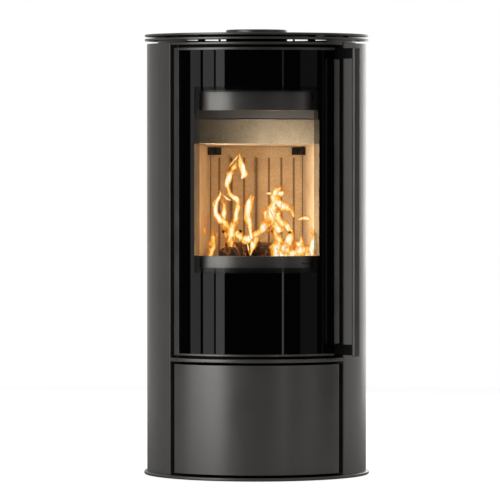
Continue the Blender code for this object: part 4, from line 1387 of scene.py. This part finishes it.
TONGUES = (
    # Left: a trunk, a thin bright strand that sways up from it and a curled head with a wisp.
    Tongue(-0.050, ((-60, 474, 17), (-57, 510, 17), (-54, 540, 14), (-47, 566, 10), (-41, 604, 8),
                    (-56, 618, 7), (-65, 640, 7), (-57, 665, 10), (-41, 670, 12), (-36, 676, 3))),
    Tongue(-0.048, ((-34, 656, 3), (-28, 668, 9), (-33, 690, 9), (-38, 712, 4), (-38, 726, 1))),
    Tongue(-0.046, ((-40, 708, 2), (-52, 694, 3), (-64, 678, 2)), -0.15),
    Tongue(-0.044, ((-60, 660, 6), (-50, 682, 10), (-42, 694, 4)), -0.25),
    # Left: an arm to the side with a feather of wisps above it.
    Tongue(-0.045, ((-52, 530, 10), (-68, 556, 12), (-83, 566, 9), (-92, 582, 6), (-88, 606, 6),
                    (-80, 622, 4), (-86, 636, 1)), -0.05),
    Tongue(-0.042, ((-72, 560, 7), (-72, 590, 8), (-76, 612, 7), (-75, 636, 1)), -0.15),
    Tongue(-0.040, ((-57, 608, 3), (-66, 612, 4), (-76, 622, 3), (-84, 634, 1)), -0.1),
    Tongue(-0.043, ((-92, 584, 5), (-96, 602, 3), (-84, 614, 3), (-76, 620, 1)), -0.2),
    # Lower left: a dim orange haze.
    Tongue(-0.030, ((-104, 478, 12), (-96, 520, 16), (-90, 560, 12), (-84, 590, 4)), -0.42),
    Tongue(-0.020, ((-118, 530, 10), (-112, 560, 12), (-104, 590, 4)), -0.5),
    # Middle: a bright bridge between the two sides, its two feet and a leaf above it.
    Tongue(-0.035, ((-52, 540, 10), (-34, 525, 12), (-14, 523, 13), (3, 534, 13), (20, 548, 13), (36, 556, 9),
                    (44, 560, 2))),
    Tongue(-0.050, ((-14, 486, 3), (-8, 505, 8), (-1, 522, 11), (6, 532, 3))),
    Tongue(-0.048, ((-15, 486, 2), (-19, 504, 3), (-23, 522, 4)), -0.05),
    Tongue(-0.060, ((-11, 524, 5), (-14, 545, 6), (-18, 574, 10), (-18, 596, 12), (-12, 614, 9),
                    (-13, 626, 2))),
    Tongue(-0.055, ((-18, 592, 6), (-10, 610, 5), (-3, 622, 1)), -0.1),
    # Right: a broad body, a forked head above it and an arm that leans to the wall.
    Tongue(-0.050, ((48, 536, 22), (40, 562, 22), (36, 588, 18), (42, 604, 14), (36, 618, 8), (44, 630, 9),
                    (58, 638, 9), (69, 650, 2))),
    Tongue(-0.048, ((20, 623, 1), (34, 624, 6), (56, 625, 8), (74, 629, 2))),
    Tongue(-0.052, ((44, 604, 10), (60, 594, 14), (74, 586, 13), (84, 570, 6), (88, 562, 1))),
    Tongue(-0.046, ((36, 556, 14), (24, 574, 14), (13, 582, 8), (11, 592, 1)), -0.05),
    Tongue(-0.054, ((46, 580, 10), (54, 562, 12), (66, 548, 10), (78, 540, 6), (84, 536, 1))),
    Tongue(-0.035, ((14, 540, 14), (18, 575, 16), (14, 610, 5)), -0.42),
    # Lower right: a low bright mass with a curl at the wall.
    Tongue(-0.092, ((46, 470, 16), (46, 500, 19), (44, 524, 18), (38, 552, 8))),
    Tongue(-0.092, ((68, 470, 24), (70, 500, 24), (74, 524, 14), (82, 546, 2))),
    Tongue(-0.092, ((92, 470, 26), (94, 500, 24), (98, 522, 12), (99, 541, 2))),
    Tongue(-0.092, ((108, 472, 20), (118, 494, 16), (126, 514, 11), (128, 530, 9), (121, 543, 7),
                    (113, 540, 1))),
    Tongue(-0.092, ((56, 506, 10), (80, 494, 16), (104, 500, 14), (120, 512, 4))),
    Tongue(-0.050, ((92, 565, 2), (104, 569, 7), (115, 567, 8), (123, 564, 2))),
    # A loose orange flick under the baffle.
    Tongue(-0.060, ((-15, 733, 1), (-10, 731, 4), (-6, 722, 1)), -0.3),
)


@dataclass
class Fire:
    """Logs, coals, flames and their light: what burns in the stove, and no part of it."""

    grate_top: float = 0.465

    def log(self, name: str, start: Place, end: Place, radius: float, phase: float) -> None:
        """Rough round log.

        At share t of its length and angle a, with phase p, its radius is
        radius (1 + 0.07 sin(2a + p) + 0.05 sin(5a + 9t + p) + 0.03 sin(11a - 17t)).
        """
        start, end = np.array(start), np.array(end)
        t = np.linspace(0.0, 1.0, 60)[:, None]
        a = np.linspace(0.0, 2 * math.pi, 48, endpoint=False)[None, :]
        r = radius * (1 + 0.07 * np.sin(2 * a + phase) + 0.05 * np.sin(5 * a + 9 * t + phase)
                      + 0.03 * np.sin(11 * a - 17 * t))
        axis = (end - start) / np.linalg.norm(end - start)
        side = np.cross(axis, (0.0, 0.0, 1.0))
        side /= np.linalg.norm(side)
        up = np.cross(side, axis)
        ring = np.cos(a)[..., None] * side + np.sin(a)[..., None] * up
        points = (start + (end - start) * t)[:, None, :] + r[..., None] * ring
        rows, cols = r.shape
        faces = quads(rows, cols, False, True) + end_faces(rows, cols)
        self.put(make_mesh(name, Shell(points.reshape(-1, 3), faces)), Ember())

    def coals(self) -> None:
        """Bed of coals: a disc raised by 16 mm times a lump height, falling to its rim.

        The lump height is 0.5 + 0.25 sin(190x + 1) sin(210y) + 0.25 sin(430x) sin(390y + 2).
        """
        radius = np.linspace(0.0, 1.0, 40)[:, None]
        angle = np.linspace(0.0, 2 * math.pi, 90, endpoint=False)[None, :]
        x = 0.070 * radius * np.cos(angle)
        y = -0.015 + 0.062 * radius * np.sin(angle)
        coarse = np.sin(190 * x + 1) * np.sin(210 * y)
        fine = np.sin(430 * x) * np.sin(390 * y + 2)
        lump = 0.5 + 0.25 * coarse + 0.25 * fine
        z = self.grate_top + 0.5 * MM + 16 * MM * lump * (1 - radius**3)
        points = np.stack((x, y, z), axis=-1).reshape(-1, 3)
        faces = quads(40, 90, False, True)
        self.put(make_mesh("coals", Shell(points, faces)), Ember("glowing_coals", 7.0))

    def put(self, obj: Object, recipe: object) -> None:
        """Dress an object with its material."""
        obj.data.materials.append(PALETTE.get(recipe))

    def flames(self) -> None:
        """Two crossing sheets for every tongue, in one mesh with its flow map."""
        shells, flows, warmths = [], [], []
        for tongue in TONGUES:
            for edge_on in (False, True):
                shell, flow = tongue.sheet(edge_on)
                shells.append(shell)
                flows.append(flow)
                warmths.append(np.full(len(flow), tongue.warmth, dtype=np.float32))
        whole = joined(shells)
        flow = np.vstack(flows)
        mesh = bpy.data.meshes.new("flames")
        mesh.from_pydata(whole.points.tolist(), [], whole.faces)
        mesh.shade_smooth()
        layer = mesh.uv_layers.new(name="flow")
        corners = np.empty(len(mesh.loops), dtype=np.int32)
        mesh.loops.foreach_get("vertex_index", corners)
        layer.data.foreach_set("uv", flow[corners].ravel())
        warmth = mesh.attributes.new("warmth", "FLOAT", "POINT")
        warmth.data.foreach_set("value", np.concatenate(warmths))
        obj = new_object("flames", mesh)
        self.put(obj, BurningGas())
        obj.visible_shadow = False

    def glow(self, name: str, place: Place, power: float, colour: str) -> None:
        """Soft warm light inside the firebox."""
        light = bpy.data.lights.new(name, "POINT")
        light.energy = power
        light.color = linear(colour)[:3]
        light.shadow_soft_size = 30 * MM
        obj = new_object(name, light)
        obj.location = place
        obj.visible_camera = False

    def build(self) -> None:
        """Lay the fire and light it."""
        self.coals()
        self.log("log_back", (-0.070, 0.030, 0.492), (0.072, 0.022, 0.490), 0.022, 0.4)
        self.log("log_left", (-0.066, -0.060, 0.486), (-0.020, 0.050, 0.500), 0.019, 2.0)
        self.log("log_right", (0.036, -0.040, 0.484), (0.000, 0.040, 0.498), 0.018, 4.1)
        self.flames()
        self.glow("flame_glow_right", (0.060, -0.070, 0.560), 0.42, "#ffe2c0")
        self.glow("flame_glow_left", (-0.055, -0.060, 0.540), 0.13, "#ffc48e")
        # The flames' light on the right of the boards, and the room's light on the baffle's front.
        for name, size, power, place, turn in (
            ("firebox_side_strip", (5 * MM, 0.22), 1.0, (-0.122, -0.112, 0.605), (90, -112)),
            ("baffle_fill", (0.14, 0.02), 0.15, (0.060, -0.203, 0.700), (133, 0)),
        ):
            panel = area_light(name, size, power, place, turn, "#fff4e6")
            panel.visible_glossy = False


@dataclass
class Studio:
    """Pale floor, soft lights, white surroundings and the camera."""

    distance: float = 9.675
    eye_height: float = 0.737
    target_height: float = 0.497
    side_shift: float = -0.0147
    lens: float = 313.2

    def build(self) -> None:
        """Set the floor, the lights, the world and the camera."""
        self.build_floor()
        self.build_world()
        self.build_lights()
        self.build_camera()

    def build_floor(self) -> None:
        """Round pale floor sheet, lifted towards white for the eye only."""
        profile = np.array([(0.0, -0.1 * MM), (3.5, -0.1 * MM), (3.5, -20 * MM), (0.0, -20 * MM)])
        floor = make_mesh("floor", swept(profile, step=3.0))
        material, tree, shader = new_material("matt_white_paper")
        shader.inputs["Base Color"].default_value = linear("#c4c4c4")
        shader.inputs["Roughness"].default_value = 0.9
        shader.inputs["Emission Color"].default_value = (1.0, 1.0, 1.0, 1.0)
        seen = add_node(tree, "LightPath").outputs["Is Camera Ray"]
        tree.links.new(math_node(tree, "MULTIPLY", seen, 0.92), shader.inputs["Emission Strength"])
        floor.data.materials.append(material)

    def build_world(self) -> None:
        """Surroundings: white for the eye; for the object dark along the horizon and grey above and below."""
        world = bpy.data.worlds.new("studio")
        bpy.context.scene.world = world
        world.use_nodes = True
        tree = world.node_tree
        background = tree.nodes["Background"]
        direction = add_node(tree, "TexCoord").outputs["Generated"]
        height = math_node(tree, "ABSOLUTE", add_node(tree, "SeparateXYZ", links={0: direction}).outputs["Z"])
        glow = map_range(tree, height, (0.08, 0.6), (0.012, 0.125))
        seen = add_node(tree, "LightPath").outputs["Is Camera Ray"]
        tree.links.new(math_node(tree, "MAXIMUM", seen, glow), background.inputs["Strength"])
        background.inputs["Color"].default_value = (1.0, 1.0, 1.0, 1.0)

    def build_lights(self) -> None:
        """Every softbox of the studio."""
        for softbox in SOFTBOXES:
            softbox.build()

    def build_camera(self) -> None:
        """Long lens camera a little above the middle of the stove."""
        data = bpy.data.cameras.new("camera")
        data.sensor_width = 36.0
        data.lens = self.lens
        data.clip_end = 100.0
        camera = new_object("camera", data)
        camera.location = (self.side_shift, -self.distance, self.eye_height)
        target = Vector((self.side_shift, 0.0, self.target_height))
        camera.rotation_euler = (target - camera.location).to_track_quat("-Z", "Y").to_euler()
        bpy.context.scene.camera = camera
        bpy.context.scene.view_settings.view_transform = "Standard"


def main() -> None:
    """Build the stove's looks and the studio."""
    logging.basicConfig(level=logging.INFO, format="%(message)s")
    Studio().build()
    Casing().build()
    TopStack().build()
    LowerCompartment().build()
    Door().build()
    BarHandle().build()
    Firebox().build()
    Fire().build()


if __name__ == "__main__":
    main()
